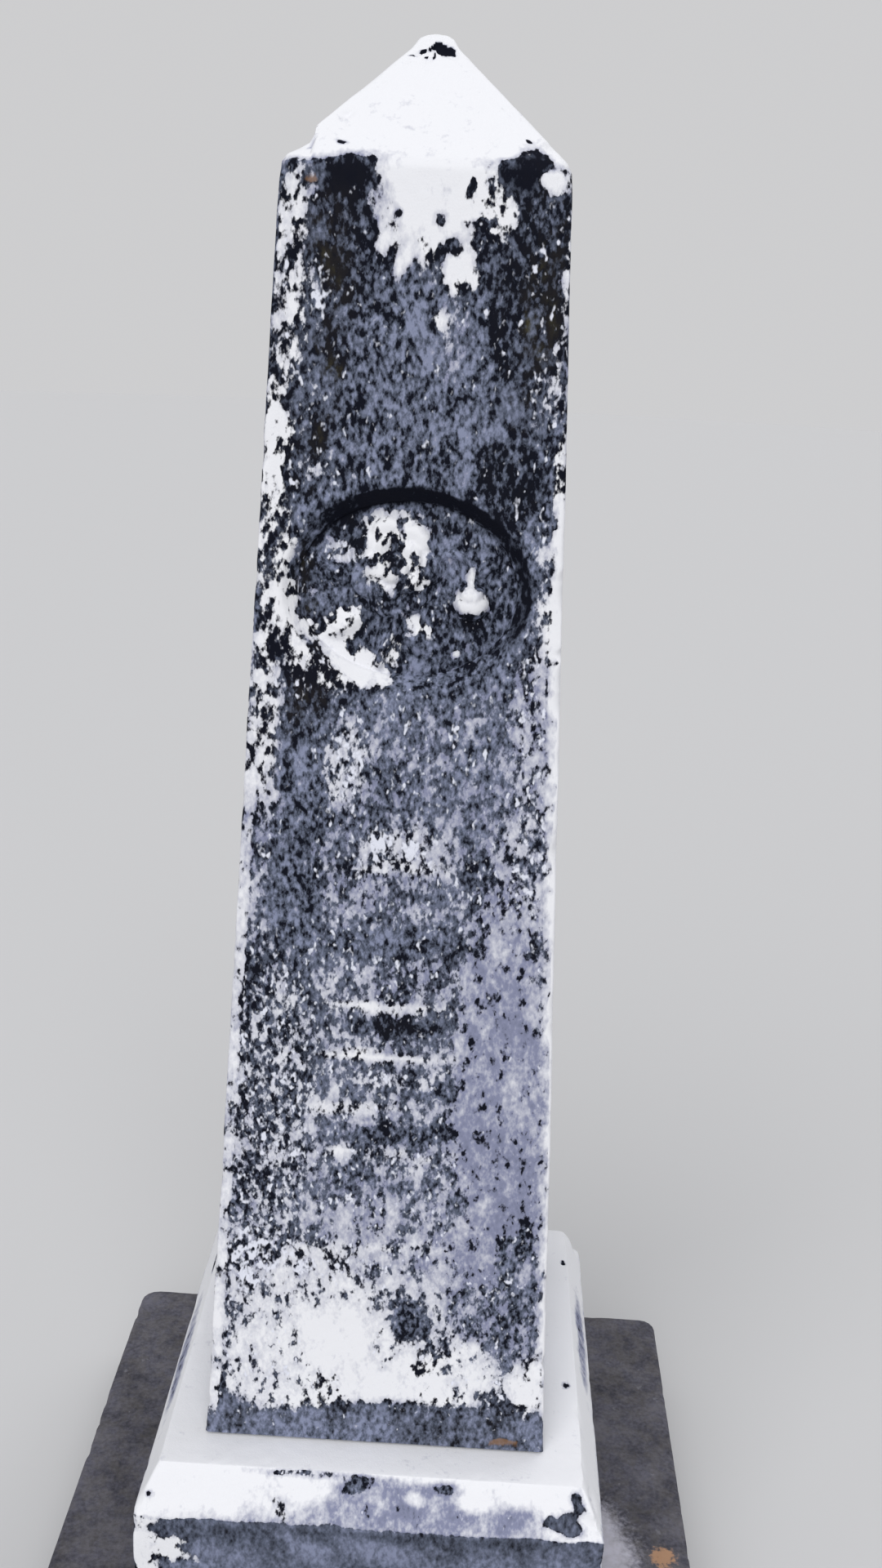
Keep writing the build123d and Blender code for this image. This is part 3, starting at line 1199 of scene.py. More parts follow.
def panel_relief(sizes, x, y, ring, points):
    """Height of the spray over the floor, blurred by wear and made uneven by noise where it rises."""
    relief = blurred(spray_relief(x, y) * (ring < FLOOR_SHARE), 2)
    worn = fractal(points, 0.011, 3, sizes.seed + 5)
    return np.clip(relief + 0.7 * MM * sizes.wear * worn * smooth(0, 3 * MM, relief), 0, None)


def rain_wear(sizes, outline, points, columns, rows):
    """How far the shaft has worn in: broad hollows, a sugary surface, pits, worn rows of lettering,
    the knob's crack, chips and the arrises, a quarter of it all at the very foot."""
    wear, seed = sizes.wear, sizes.seed
    sink = wear * 1.1 * MM * hollows(points, 0.11, 3, seed + 1)
    sink += wear * 0.55 * MM * hollows(points, 0.012, 2, seed + 2)
    pit_low, pit_high = (-0.18, -0.18, outline.low), (0.18, 0.18, outline.cap_low)
    sink += wear * pits(points, 150, pit_low, pit_high, 9 * MM, 1.6 * MM, seed + 3)
    sink += wear * worn_rows(points, outline.low)
    sink += 3.4 * MM * crack_share(points, outline.top)
    sink += chips(points, SHAFT_CHIPS, seed + 7)
    near_arris = np.where(columns.corner > 0, 1.0, smooth(0.86, 1.0, np.abs(columns.t)))
    sink += near_arris * wear * 0.8 * MM * hollows(points, 0.02, 3, seed + 4)
    return sink * (0.25 + 0.75 * smooth(0, 3 * MM, rows)[:, None])


def weather_and_shade_panel(fields, part, x, y, ring, relief, ragged):
    """Marks that follow the carving: a crescent of painted shade on the upper and right bevel, drawn
    with the black crust finish and partly crust too, pale flakes on the left of the mouth, pale
    flakes that are partly a painted highlight on the crests of the relief, and crust and painted
    shade in its hollows. A crest or a hollow is where the relief stands over or under its own
    blurred height."""
    fields["lichen"][part] += 0.4 * ragged * (1 - smooth(0.7, 0.95, ring))
    turn = np.arctan2(y, x)
    # Painted shade under the upper and right rim, drawn with the black crust finish: partly crust, partly
    # shade
    shade = smooth(-0.30, 0.45, 0.85 * np.sin(turn) + 0.50 * np.cos(turn))
    start = 0.745 + 0.03 * np.cos(turn)
    shade *= smooth(start - 0.03, start + 0.03, ring) * (1 - smooth(0.875, 0.915, ring))
    draw(fields, part, levels("black"), (1 - 0.25 * smooth(0.5, 1, np.cos(turn))) * shade)
    mouth_left = smooth(0.55, 0.85, np.cos(turn - radians(196))) * smooth(0.83, 0.89, ring)
    draw(fields, part, levels("flaked"), 0.9 * mouth_left * (1 - smooth(0.93, 0.97, ring)))
    hollow = blurred(relief, 30) - relief
    # Pale flakes on the crests of the relief: worn marble, and partly a painted highlight
    crest = smooth(0.9 * MM, 2.4 * MM, -hollow) * (1 - smooth(10 * MM, 22 * MM, x))
    draw(fields, part, levels("flaked"), 0.25 * crest)
    # Crust in the hollows of the relief, partly painted shade
    draw(fields, part, HOLLOW_CRUST_AND_SHADE, 0.45 * smooth(0.6 * MM, 3.0 * MM, hollow))


def make_shaft(sizes, material):
    """The shaft and its cap, with the sunk panel and its relief: a wall of rows and columns, whose
    rows and columns on the front bend to follow the oval."""
    outline = Outline(sizes)
    along, lines = outline.profile()
    block_rows = sizes.panel_rise / cos(outline.lean) + UP_LEVELS * BLOCK[1]
    rows, block = outline.rows(block_rows, along[-1])
    half, z, across, up = at_rows(rows, along, lines)

    # Columns: those in the middle of the front are the block's, and those of the other sides stand
    # closer towards the arrises
    block_edge = BLOCK[0] / (outline.half_at(outline.low + sizes.panel_rise) - CORNER_REACH)
    front = np.concatenate([[-1.0], ACROSS_LEVELS * block_edge, [1.0]])
    bend = 0.92 * pi / 2
    others = np.sin(np.linspace(-1, 1, 27) * bend) / sin(bend)
    columns = Columns([front, others, others, others])
    radii = arris_radii(z, outline.low, outline.top, 2.4 * MM, 3.2 * MM * sizes.wear, 26, sizes.seed)
    radii += eaves_shoulder(z, outline.cap_low)
    reach = np.minimum(CORNER_REACH, 0.62 * half)
    points, normals = columns.wall(half, z, across, up, reach, radii)

    part = (block, slice(1, 1 + ACROSS_LEVELS.size))
    x, y, ring, face = panel_face(sizes, outline, block_edge)
    relief = panel_relief(sizes, x, y, ring, face)
    points[part] = face
    sink = rain_wear(sizes, outline, points, columns, rows)
    sink[part] += panel_depth(sizes, ring) - relief
    points = points - normals * sink[..., None]
    points[..., 2] -= spall(points, outline.cap_low)

    # Heights that the weathering is painted at. On the cap they start 3 mm on
    rise = z - outline.low + np.where(rows < outline.run, 0, 3 * MM)
    height = rise[:, None] + np.zeros(sink.shape)
    height[part] = face[..., 2] - outline.low
    loose = np.ones(sink.shape)
    loose[part] = 0.25 + 0.75 * smooth(0.80, 1.0, ring)
    fields = weather(points, columns, height, SHAFT_GROUNDS, SHAFT_STROKES, (13, 8), sizes.seed + 6, loose)
    draw(fields, ..., CRACK_CRUST, smooth(0.2, 0.5, crack_share(points, outline.top)))
    for arris in ARRISES:
        wash_arris(fields, points, columns, height, arris, sizes.seed + 9)
    weather_and_shade_panel(fields, part, x, y, ring, relief, fractal(face, 0.006, 2, sizes.seed + 10))
    return stone_mesh("Shaft", points, fields, "obelisk_shaft", material)


# Weathering of the base, in mm from the middle of the side and along its profile from the bottom

BASE_GROUNDS = {
    "front": [(0, "smoke"), (187, "smoke"), (191, "clean")],
    "right": [(0, "dark"), (60, "slate"), (130, "frost"), (190, "pale"), (200, "clean")],
    "back": [(0, "dark"), (100, "slate"), (184, "pepper"), (196, "clean")],
    "left": [(0, "dark"), (80, "slate"), (160, "pepper"), (190, "pale"), (200, "clean")],
}

BASE_STROKES = {
    "front": [
        ("smoke", 0, 130, 300, 70, 0),
        ("veil", -160, 178, 60, 5, 0),
        ("pale", -238, 122, 74, 62, 0),
        ("chipped", -222, 152, 46, 30, -30),
        ("worn", -242, 150, 34, 34, -30),
        ("gloom", -120, 174, 100, 13, 0),
        ("gloom", 60, 180, 130, 7, 0),
        ("ash", -64, 160, 36, 13, 30),
        ("ash", 40, 150, 60, 12, 20),
        ("gloom", 110, 164, 40, 8, 20),
        ("ash", 150, 142, 50, 16, 25),
        ("ash", -150, 140, 36, 10, 20),
        ("gloom", 20, 120, 60, 18, 25),
        ("ash", -120, 110, 90, 16, 10),
        ("ash", 130, 96, 90, 18, 10),
        ("gloom", 0, 24, 240, 30, 0),
        ("veil", 40, 212, 112, 24, 0),
        ("veil", 120, 206, 60, 15, 0),
        ("haze", -4, 226, 26, 13, -8),
        ("veil", 16, 218, 54, 20, 0),
        ("lavender", 24, 208, 72, 10, 4),
        ("veil", 138, 208, 40, 12, 10),
        ("bare", -76, 222, 36, 13, 0),
        ("bare", 44, 222, 9, 6, 20),
        ("bare", 110, 225, 22, 9, 0),
        ("frost", -92, 208, 14, 9, 0),
        ("slate", 76, 234, 15, 6, 0),
        ("salt", -60, 241, 62, 5, 0),
        ("slate", -14, 232, 14, 9, -20),
        ("bare", 208, 216, 30, 26, 0),
        ("gloom", 212, 233, 6, 6, 20),
        ("gloom", 217, 223, 6, 6, -20),
        ("gloom", 207, 212, 9, 6.5, 20),
        ("smoke", 196, 206, 13, 6, 8),
        ("gloom", 187, 211, 4, 4, 0),
        ("smoke", 212, 200, 9, 6, 0),
        ("black", -232, 212, 6, 4, -30),
    ],
    "right": [
        ("slate", -120, 120, 90, 50, 0),
        ("haze", 60, 130, 120, 40, 0),
        ("frost", 170, 166, 70, 16, 0),
        ("dark", 0, 24, 250, 24, 0),
        ("lavender", 40, 214, 90, 14, 0),
        ("black", -70, 258, 5, 4, 0),
        ("black", 152, 251, 5, 3.5, 0),
    ],
    "back": [
        ("haze", -90, 130, 110, 36, 0),
        ("pepper", 130, 140, 100, 30, 0),
        ("dark", 0, 26, 250, 28, 0),
        ("lavender", -60, 216, 110, 18, 0),
        ("pepper", 90, 210, 60, 10, 0),
        ("black", 190, 236, 24, 3, 0),
    ],
    "left": [
        ("slate", 90, 120, 110, 50, 0),
        ("frost", -150, 160, 80, 20, 0),
        ("haze", -60, 110, 90, 30, 0),
        ("dark", 0, 24, 250, 24, 0),
        ("lavender", 30, 214, 100, 16, 0),
        ("black", -120, 238, 20, 3, 0),
    ],
}


# Half-width of the part of a top that the piece over it hides, and that stays level
BASE_SEAT = 172 * MM
FOUNDATION_SEAT = 239 * MM

# Place on its line of noise from which an arris of the base or foundation is read
ARRIS_START = 1.0


def make_base(sizes, material):
    """The base: a wall with an upright face, the wash, and a level top that closes at its middle.
    It has worn in by broad and fine hollows, nicks along both arrises, pits and chips."""
    low, high = BASE_BOX
    half = (high.x - low.x) / 2
    drop, run, wear = sizes.wash_drop, sizes.wash_run, sizes.wear
    corners = [(half, low.z), (half, high.z - drop), (half - run, high.z), (30 * MM, high.z)]
    along, lines = rounded_profile(corners, 3 * MM)
    face = high.z - drop - low.z
    top = face + hypot(drop, run)
    near = 7 * MM
    rows = runs(
        0,
        (2 * MM, 1),
        (5 * MM, 1),
        (face - near, 46),
        (face + near, 8),
        (top - near, 13),
        (top + near, 8),
        (top + 55 * MM, 15),
        (along[-1], 5),
    )
    half, z, across, up = at_rows(rows, along, lines)
    reach = np.minimum(16 * MM, 0.5 * half)
    straight = np.linspace(-1, 1, 151)
    columns = Columns([straight, straight[::2], straight[::2], straight[::2]])
    start, end = ARRIS_START, ARRIS_START + top
    radii = arris_radii(start + rows, start, end, 2.6 * MM, 3.0 * MM * wear, 7, sizes.seed)
    points, normals = columns.wall(half, z, across, up, reach, radii)

    sink = wear * 1.4 * MM * hollows(points, 0.13, 3, sizes.seed + 1)
    sink += wear * 0.5 * MM * hollows(points, 0.012, 2, sizes.seed + 2)
    arris = np.exp(-(((rows - face) / (5 * MM)) ** 2)) + np.exp(-(((rows - top) / (6 * MM)) ** 2))
    nicks = smooth(0.15, 0.75, fractal(points, 0.022, 3, sizes.seed + 3))
    sink += wear * arris[:, None] * (0.4 * MM + 2.2 * MM * nicks)
    pit_low, pit_high = (-0.25, -0.25, low.z), (0.25, 0.25, high.z)
    sink += wear * pits(points, 120, pit_low, pit_high, 9 * MM, 1.7 * MM, sizes.seed + 4)
    sink += chips(points, BASE_CHIPS, sizes.seed + 7)
    seat = (rows > top + 1 * MM)[:, None] & within(points, BASE_SEAT)
    sink = np.where(seat, np.minimum(sink, 0.4 * MM), sink)
    points = points - normals * sink[..., None]
    fields = weather(points, columns, rows[:, None], BASE_GROUNDS, BASE_STROKES, (10, 3), sizes.seed + 6)
    return stone_mesh("Base", points, fields, "marble_base", material)


def make_foundation(sizes, material):
    """The foundation stone: pitched sides, hollowed by ridged noise 1 − 2·|noise| below a straight
    margin, and a level worn top that closes at its middle. Its runoff stain and its orange lichen
    are exp(−d²), with d the way from the middle of each by its half-size."""
    low, high = STONE_BOX
    half = (high.x - low.x) / 2
    corners = [(half, low.z), (half, high.z), (60 * MM, high.z)]
    along, lines = rounded_profile(corners, 12 * MM)
    side = high.z - low.z
    rows = runs(
        0,
        (2 * MM, 1),
        (side - 16 * MM, 22),
        (side + 14 * MM, 12),
        (side + 150 * MM, 36),
        (along[-1], 6),
    )
    half, z, across, up = at_rows(rows, along, lines)
    reach = np.minimum(34 * MM, 0.5 * half)
    columns = Columns([np.linspace(-1, 1, 131)] * 4)
    start, end = ARRIS_START, ARRIS_START + side
    radii = arris_radii(start + rows, start, end, 16 * MM, 9 * MM, 5, sizes.seed)
    points, normals = columns.wall(half, z, across, up, reach, radii)

    ridged = np.clip(1 - np.abs(fractal(points, 0.075, 4, sizes.seed + 1)) * 2, 0, 1)
    below_margin = 1 - smooth(side - 34 * MM, side - 12 * MM, rows)[:, None]
    sink = 1.2 * MM * hollows(points, 0.16, 3, sizes.seed + 2)
    sink += 0.7 * MM * hollows(points, 0.014, 3, sizes.seed + 3)
    sink += sizes.pitch * below_margin * (1 - 0.75 * ridged)
    nicks = smooth(0.1, 0.7, fractal(points, 0.035, 3, sizes.seed + 4))
    sink += 3.2 * MM * nicks * np.exp(-(((rows - side) / (12 * MM)) ** 2))[:, None]
    seat = (up[:, None] > 0.9) & within(points, FOUNDATION_SEAT)
    sink = np.where(seat, np.minimum(sink, 0.3 * MM), sink)
    points = points - normals * sink[..., None]

    x, y = points[..., 0] / MM, points[..., 1] / MM
    shake = 10 * fractal(points, 0.03, 3, sizes.seed + 5)
    runoff = ((x - 254 + shake) / 62) ** 2 + ((y + 62 + shake) / 92) ** 2
    rust = ((x - 342 + shake) / 15) ** 2 + ((y + 58) / 18) ** 2
    fields = {
        "runoff": 1.15 * np.exp(-runoff),
        "rust": np.exp(-rust),
        "damp": 1 - smooth(0, 60 * MM, points[..., 2]),
    }
    return stone_mesh("Foundation", points, fields, "foundation_stone", material)


BED_LIP = 14 * MM
BED_COLUMNS = 161


def make_bed(name, node, rows_up, ragged, material, seed):
    """A mortar bed: a thin wall that is hollowed and crumbled by noise, with a lip of its under and
    upper side, each closed to its middle."""
    low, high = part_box(node)
    half = (high.x - low.x) / 2
    corners = [(half - BED_LIP, low.z), (half, low.z), (half, high.z), (half - BED_LIP, high.z)]
    along, lines = rounded_profile(corners, 0.6 * MM)
    thick = high.z - low.z
    rows = runs(
        4 * MM,
        (BED_LIP - 0.2 * thick, 3),
        (BED_LIP + 0.1 * thick, 1),
        (BED_LIP + 0.9 * thick, rows_up),
        (BED_LIP + 1.2 * thick, 1),
        (BED_LIP + thick + 10 * MM, 3),
    )
    half, z, across, up = at_rows(rows, along, lines)
    reach = np.full(rows.size, 6 * MM)
    radii = np.full((rows.size, 4), 3 * MM)
    columns = Columns([np.linspace(-1, 1, BED_COLUMNS)] * 4)
    points, normals = columns.wall(half, z, across, up, reach, radii)
    gaps = smooth(0.3, 0.8, fractal(points, 0.05, 3, seed + 1))
    hollow = (0.5 * hollows(points, 0.009, 3, seed) + gaps) * across[:, None]
    points = points - normals * ragged * hollow[..., None] * (1, 1, 0)
    return stone_mesh(name, points, {"hollow": hollow}, node, material)


# Materials

RUNOFF = (0.62, 0.61, 0.70)
DUST = (0.20, 0.185, 0.165)
DAMP = (0.030, 0.032, 0.024)
SPECKS = (0.22, 0.22, 0.25)
CRUMBLED = (0.05, 0.048, 0.045)


def feed(tree, sockets, inputs):
    """Links each named or numbered socket to another one, or gives it a value."""
    for name, value in inputs.items():
        if isinstance(value, bpy.types.NodeSocket):
            tree.links.new(value, sockets[name])
        else:
            sockets[name].default_value = value


def add(tree, kind, inputs=None, **settings):
    """A shader node with its settings made and its inputs fed."""
    made = tree.nodes.new("ShaderNode" + kind)
    for name, value in settings.items():
        setattr(made, name, value)
    feed(tree, made.inputs, inputs or {})
    return made


def maths(tree, operation, *values):
    """Result of a Math node for its two or three values."""
    return add(tree, "Math", dict(enumerate(values)), operation=operation).outputs[0]


def ranged(tree, value, from_low, from_high, to_low=0.0, to_high=1.0):
    """A value that runs smoothly from one range to another and holds at its ends."""
    inputs = {"Value": value, "From Min": from_low, "From Max": from_high}
    inputs.update({"To Min": to_low, "To Max": to_high})
    return add(tree, "MapRange", inputs, interpolation_type="SMOOTHSTEP").outputs["Result"]


def mixed(tree, share, a, b):
    """Colour a with a share of colour b."""
    return add(tree, "Mix", {0: share, 6: a, 7: b}, data_type="RGBA").outputs[2]


def group(name, inputs, output):
    """An empty shader node group with named inputs and one output, and its two end nodes' sockets."""
    tree = bpy.data.node_groups.new(name, "ShaderNodeTree")
    for socket, default in inputs.items():
        kind = "NodeSocketVector" if default is None else "NodeSocketFloat"
        made = tree.interface.new_socket(socket, in_out="INPUT", socket_type=kind)
        if default is not None:
            made.default_value = default
    tree.interface.new_socket(output, in_out="OUTPUT", socket_type="NodeSocketFloat")
    start = tree.nodes.new("NodeGroupInput").outputs
    end = tree.nodes.new("NodeGroupOutput").inputs
    return tree, start, end


def use_group(tree, grouped, inputs):
    """Output of a node group with its inputs fed."""
    made = tree.nodes.new("ShaderNodeGroup")
    made.node_tree = grouped
    feed(tree, made.inputs, inputs)
    return made.outputs[0]


def speckle_group():
    """Noise of about -1 to 1 at a size in metres, leaning a little as the specks on the stone do."""
    tree, start, end = group("Speckle", {"Vector": None, "Size": 0.006, "Detail": 2.0}, "Value")
    leaning = {"Vector": start["Vector"], "Rotation": (0, radians(38), 0), "Scale": (1.0, 1.0, 0.62)}
    turned = add(tree, "Mapping", leaning).outputs[0]
    scale = maths(tree, "DIVIDE", 1.0, start["Size"])
    inputs = {"Vector": turned, "Scale": scale, "Detail": start["Detail"], "Roughness": 0.55}
    noise = add(tree, "TexNoise", inputs).outputs["Fac"]
    tree.links.new(maths(tree, "MULTIPLY_ADD", noise, 3.2, -1.6), end["Value"])
    return tree


def blot_group():
    """Mask of ragged round spots: a share, Density, of the cells of a Voronoi pattern holds one, and
    noise shifts their edges by Ragged."""
    inputs = {"Vector": None, "Cell": 0.01, "Density": 0.5, "Ragged": 0.3}
    tree, start, end = group("Blots", inputs, "Mask")
    scale = maths(tree, "DIVIDE", 1.0, start["Cell"])
    finer = maths(tree, "MULTIPLY", scale, 2.2)
    noise = add(tree, "TexNoise", {"Vector": start["Vector"], "Scale": finer, "Detail": 2.0})
    centred = {0: noise.outputs["Color"], 1: (0.5, 0.5, 0.5)}
    shift = add(tree, "VectorMath", centred, operation="SUBTRACT").outputs[0]
    size = maths(tree, "MULTIPLY", maths(tree, "MULTIPLY", start["Cell"], start["Ragged"]), 3.0)
    moved = add(tree, "VectorMath", {0: shift, "Scale": size}, operation="SCALE").outputs[0]
    where = add(tree, "VectorMath", {0: start["Vector"], 1: moved}, operation="ADD").outputs[0]
    cells = add(tree, "TexVoronoi", {"Vector": where, "Scale": scale}, feature="F1").outputs
    chance = add(tree, "SeparateColor", {"Color": cells["Color"]}).outputs[0]
    spare = maths(tree, "SUBTRACT", start["Density"], chance)
    radius = maths(tree, "MULTIPLY_ADD", spare, 0.55, 0.10)
    inside = ranged(tree, maths(tree, "SUBTRACT", radius, cells["Distance"]), 0.0, 0.10)
    held = ranged(tree, spare, 0.0, 0.04)
    tree.links.new(maths(tree, "MULTIPLY", inside, held), end["Mask"])
    return tree


def grain_group():
    """Height of crystalline stone: fine noise and 1.6 times as much of coarser noise."""
    tree, start, end = group("Stone grain", {"Vector": None, "Size": 0.0015}, "Height")
    scale = maths(tree, "DIVIDE", 1.0, start["Size"])
    inputs = {"Vector": start["Vector"], "Scale": scale, "Detail": 3.0, "Roughness": 0.6}
    fine = add(tree, "TexNoise", inputs).outputs["Fac"]
    coarser = maths(tree, "MULTIPLY", scale, 0.18)
    wide = add(tree, "TexNoise", {"Vector": start["Vector"], "Scale": coarser, "Detail": 3.0}).outputs["Fac"]
    height = maths(tree, "MULTIPLY_ADD", wide, 1.6, fine)
    tree.links.new(maths(tree, "MULTIPLY", height, 0.4), end["Height"])
    return tree


def dust_group():
    """Mask of dust that settles where a surface faces up, broken by noise."""
    tree, start, end = group("Dust", {"Vector": None, "Amount": 0.5}, "Mask")
    normal = tree.nodes.new("ShaderNodeNewGeometry").outputs["Normal"]
    up = add(tree, "SeparateXYZ", {"Vector": normal}).outputs["Z"]
    noise = add(tree, "TexNoise", {"Vector": start["Vector"], "Scale": 70.0, "Detail": 4.0}).outputs["Fac"]
    settled = maths(tree, "MULTIPLY", ranged(tree, up, 0.2, 0.9), ranged(tree, noise, 0.35, 0.65))
    tree.links.new(maths(tree, "MULTIPLY", settled, start["Amount"]), end["Mask"])
    return tree


def rgba(colour):
    """A colour with full cover."""
    return (*colour, 1.0)


def times(factor, colour):
    """A colour made brighter or darker by a factor."""
    return [factor * channel for channel in colour]


def between(share, a, b):
    """Colour a with a share of colour b."""
    return [(1 - share) * x + share * y for x, y in zip(a, b)]


def new_material(name, colour):
    """A material with an empty tree but for its shader and output, and its Object coordinates."""
    material = bpy.data.materials.new(name)
    material.use_nodes = True
    material.diffuse_color = rgba(colour)
    tree = material.node_tree
    tree.nodes.clear()
    shader = add(tree, "BsdfPrincipled", {"Specular IOR Level": 0.06})
    output = tree.nodes.new("ShaderNodeOutputMaterial")
    tree.links.new(shader.outputs[0], output.inputs["Surface"])
    vector = tree.nodes.new("ShaderNodeTexCoord").outputs["Object"]
    return material, tree, shader, vector


def field(tree, name):
    """A field of the mesh, painted on its vertices."""
    return add(tree, "Attribute", attribute_name=name).outputs["Fac"]


def coloured(tree, value, stops):
    """Colour of a value on a ramp of (position, colour) stops."""
    ramp = add(tree, "ValToRGB", {"Fac": value})
    elements = ramp.color_ramp.elements
    while len(elements) < len(stops):
        elements.new(0.5)
    for element, (position, colour) in zip(elements, stops):
        element.position = position
        element.color = rgba(colour)
    return ramp.outputs["Color"]


def speckle(tree, groups, vector, size, detail=3.0):
    """Leaning noise of about -1 to 1 at a size."""
    return use_group(tree, groups["Speckle"], {"Vector": vector, "Size": size, "Detail": detail})


def grain(tree, groups, vector, size):
    """Height of the stone's grain at a size."""
    return use_group(tree, groups["Stone grain"], {"Vector": vector, "Size": size})


def close_shader(tree, shader, colour, height, strength, distance):
    """Feeds the shader its colour, and its normal from a bump of a height."""
    bump = add(tree, "Bump", {"Height": height, "Strength": strength, "Distance": distance})
    feed(tree, shader.inputs, {"Base Color": colour, "Normal": bump.outputs["Normal"]})


def film_colour(tree, colours, tiny, middle, wide):
    """Marble from bare to lavender-grey, by its film field and three sizes of speckle."""
    film = maths(tree, "MULTIPLY_ADD", middle, 0.26, field(tree, "film"))
    film = maths(tree, "MULTIPLY_ADD", wide, 0.14, film)
    film = maths(tree, "MULTIPLY_ADD", tiny, 0.22, film)
    stops = (
        (0.15, colours.marble),
        (0.42, between(0.38, colours.marble, colours.film)),
        (0.72, colours.film),
        (1.0, between(0.5, colours.film, colours.slate)),
    )
    return coloured(tree, film, stops)


def lichen_colour(tree, colours, cover, tiny, fine, middle, wide):
    """Lichen from light grey over slate to black, by its tone field and four sizes of speckle. It is
    darker along its growing edge, and has brown or olive growth in patches."""
    uneven = maths(tree, "MULTIPLY_ADD", fine, 0.80, maths(tree, "MULTIPLY", tiny, 1.15))
    uneven = maths(tree, "MULTIPLY_ADD", middle, 0.60, uneven)
    uneven = maths(tree, "MULTIPLY_ADD", wide, 0.40, uneven)
    tone = maths(tree, "MULTIPLY_ADD", uneven, field(tree, "grit"), field(tree, "tone"))
    tone = maths(tree, "MULTIPLY_ADD", wide, 0.10, tone)
    edge = maths(tree, "MULTIPLY", ranged(tree, cover, 0.50, 0.66, 0.26, 0.0), field(tree, "tone"))
    light = between(0.5, times(2.5, colours.slate), colours.film)
    stops = (
        (0.0, light),
        (0.33, between(0.62, light, colours.slate)),
        (0.56, colours.slate),
        (0.78, between(0.55, colours.slate, colours.black)),
        (1.0, colours.black),
    )
    lichen = coloured(tree, maths(tree, "ADD", tone, edge), stops)
    brown = field(tree, "brown")
    greener = ranged(tree, maths(tree, "ADD", brown, middle), 0.9, 1.7)
    growth = mixed(tree, greener, rgba(colours.brown), rgba(colours.olive))
    patches = ranged(tree, maths(tree, "ADD", wide, fine), -0.5, 0.6, 0.0, 0.6)
    return mixed(tree, maths(tree, "MULTIPLY", brown, patches), lichen, growth)


def lichen_marble(groups, colours):
    """White marble under a grey film, with lichen where its field and speckle add up to about a
    half. White flecks and orange lichen lie on both, and the lichen stands up as a crust."""
    material, tree, shader, vector = new_material("Weathered marble", colours.marble)
    tiny = speckle(tree, groups, vector, 0.0042)
    fine = speckle(tree, groups, vector, 0.0072)
    middle = speckle(tree, groups, vector, 0.016)
    wide = speckle(tree, groups, vector, 0.055)

    rough = maths(tree, "MULTIPLY_ADD", fine, 0.32, maths(tree, "MULTIPLY", middle, 0.28))
    rough = maths(tree, "MULTIPLY_ADD", tiny, 0.12, rough)
    cover = maths(tree, "ADD", field(tree, "lichen"), rough)
    marble = film_colour(tree, colours, tiny, middle, wide)
    lichen = lichen_colour(tree, colours, cover, tiny, fine, middle, wide)
    colour = mixed(tree, ranged(tree, cover, 0.42, 0.56), marble, lichen)

    apart = add(tree, "VectorMath", {0: vector, 1: (0.37, 0.11, 0.23)}, operation="ADD").outputs[0]
    speck = maths(tree, "MULTIPLY", speckle(tree, groups, apart, 0.0052, 1.5), 0.45)
    speck = maths(tree, "MULTIPLY_ADD", middle, 0.28, speck)
    fleck = ranged(tree, maths(tree, "ADD", speck, field(tree, "flecks")), 0.60, 0.82)
    colour = mixed(tree, maths(tree, "MULTIPLY", fleck, 0.96), colour, rgba(colours.fleck))
    rust = ranged(tree, maths(tree, "MULTIPLY_ADD", fine, 0.25, field(tree, "rust")), 0.45, 0.75)
    colour = mixed(tree, maths(tree, "MULTIPLY", rust, 0.55), colour, rgba(colours.rust))

    feed(tree, shader.inputs, {"Roughness": ranged(tree, cover, 0.4, 0.6, 0.55, 0.85)})
    crust = maths(tree, "MULTIPLY_ADD", tiny, 0.35, 0.9)
    thick = ranged(tree, cover, 0.42, 0.58)
    height = maths(tree, "MULTIPLY_ADD", thick, crust, grain(tree, groups, vector, 0.0016))
    close_shader(tree, shader, colour, height, 0.8, 0.0007)
    return material


def grey_stone(groups, colours):
    """Smooth dark stone with a pale runoff stain, dust, damp towards the ground, orange lichen and
    pale specks."""
    material, tree, shader, vector = new_material("Grey stone", colours.stone)
    fine = speckle(tree, groups, vector, 0.005)
    wide = speckle(tree, groups, vector, 0.06, 4.0)
    shade = maths(tree, "ADD", maths(tree, "MULTIPLY", fine, 0.18), maths(tree, "MULTIPLY", wide, 0.22))
    light, dark = times(2.1, colours.stone), times(0.45, colours.stone)
    colour = mixed(tree, ranged(tree, shade, -0.35, 0.35), rgba(dark), rgba(light))
    runoff = maths(tree, "MULTIPLY_ADD", fine, 0.16, field(tree, "runoff"))
    colour = mixed(tree, ranged(tree, runoff, 0.3, 0.9, 0.0, 0.85), colour, rgba(RUNOFF))
    dust = use_group(tree, groups["Dust"], {"Vector": vector, "Amount": 0.22})
    colour = mixed(tree, dust, colour, rgba(DUST))
    colour = mixed(tree, maths(tree, "MULTIPLY", field(tree, "damp"), 0.6), colour, rgba(DAMP))
    rust = ranged(tree, maths(tree, "MULTIPLY_ADD", fine, 0.42, field(tree, "rust")), 0.35, 0.75)
    colour = mixed(tree, maths(tree, "MULTIPLY", rust, 0.8), colour, rgba(times(1.5, colours.rust)))
    blots = {"Vector": vector, "Cell": 0.02, "Density": 0.22, "Ragged": 0.35}
    specks = maths(tree, "MULTIPLY", use_group(tree, groups["Blots"], blots), 0.45)
    colour = mixed(tree, specks, colour, rgba(SPECKS))

    feed(tree, shader.inputs, {"Roughness": ranged(tree, shade, -0.4, 0.4, 0.62, 0.88)})
    close_shader(tree, shader, colour, grain(tree, groups, vector, 0.0022), 0.8, 0.0012)
    return material


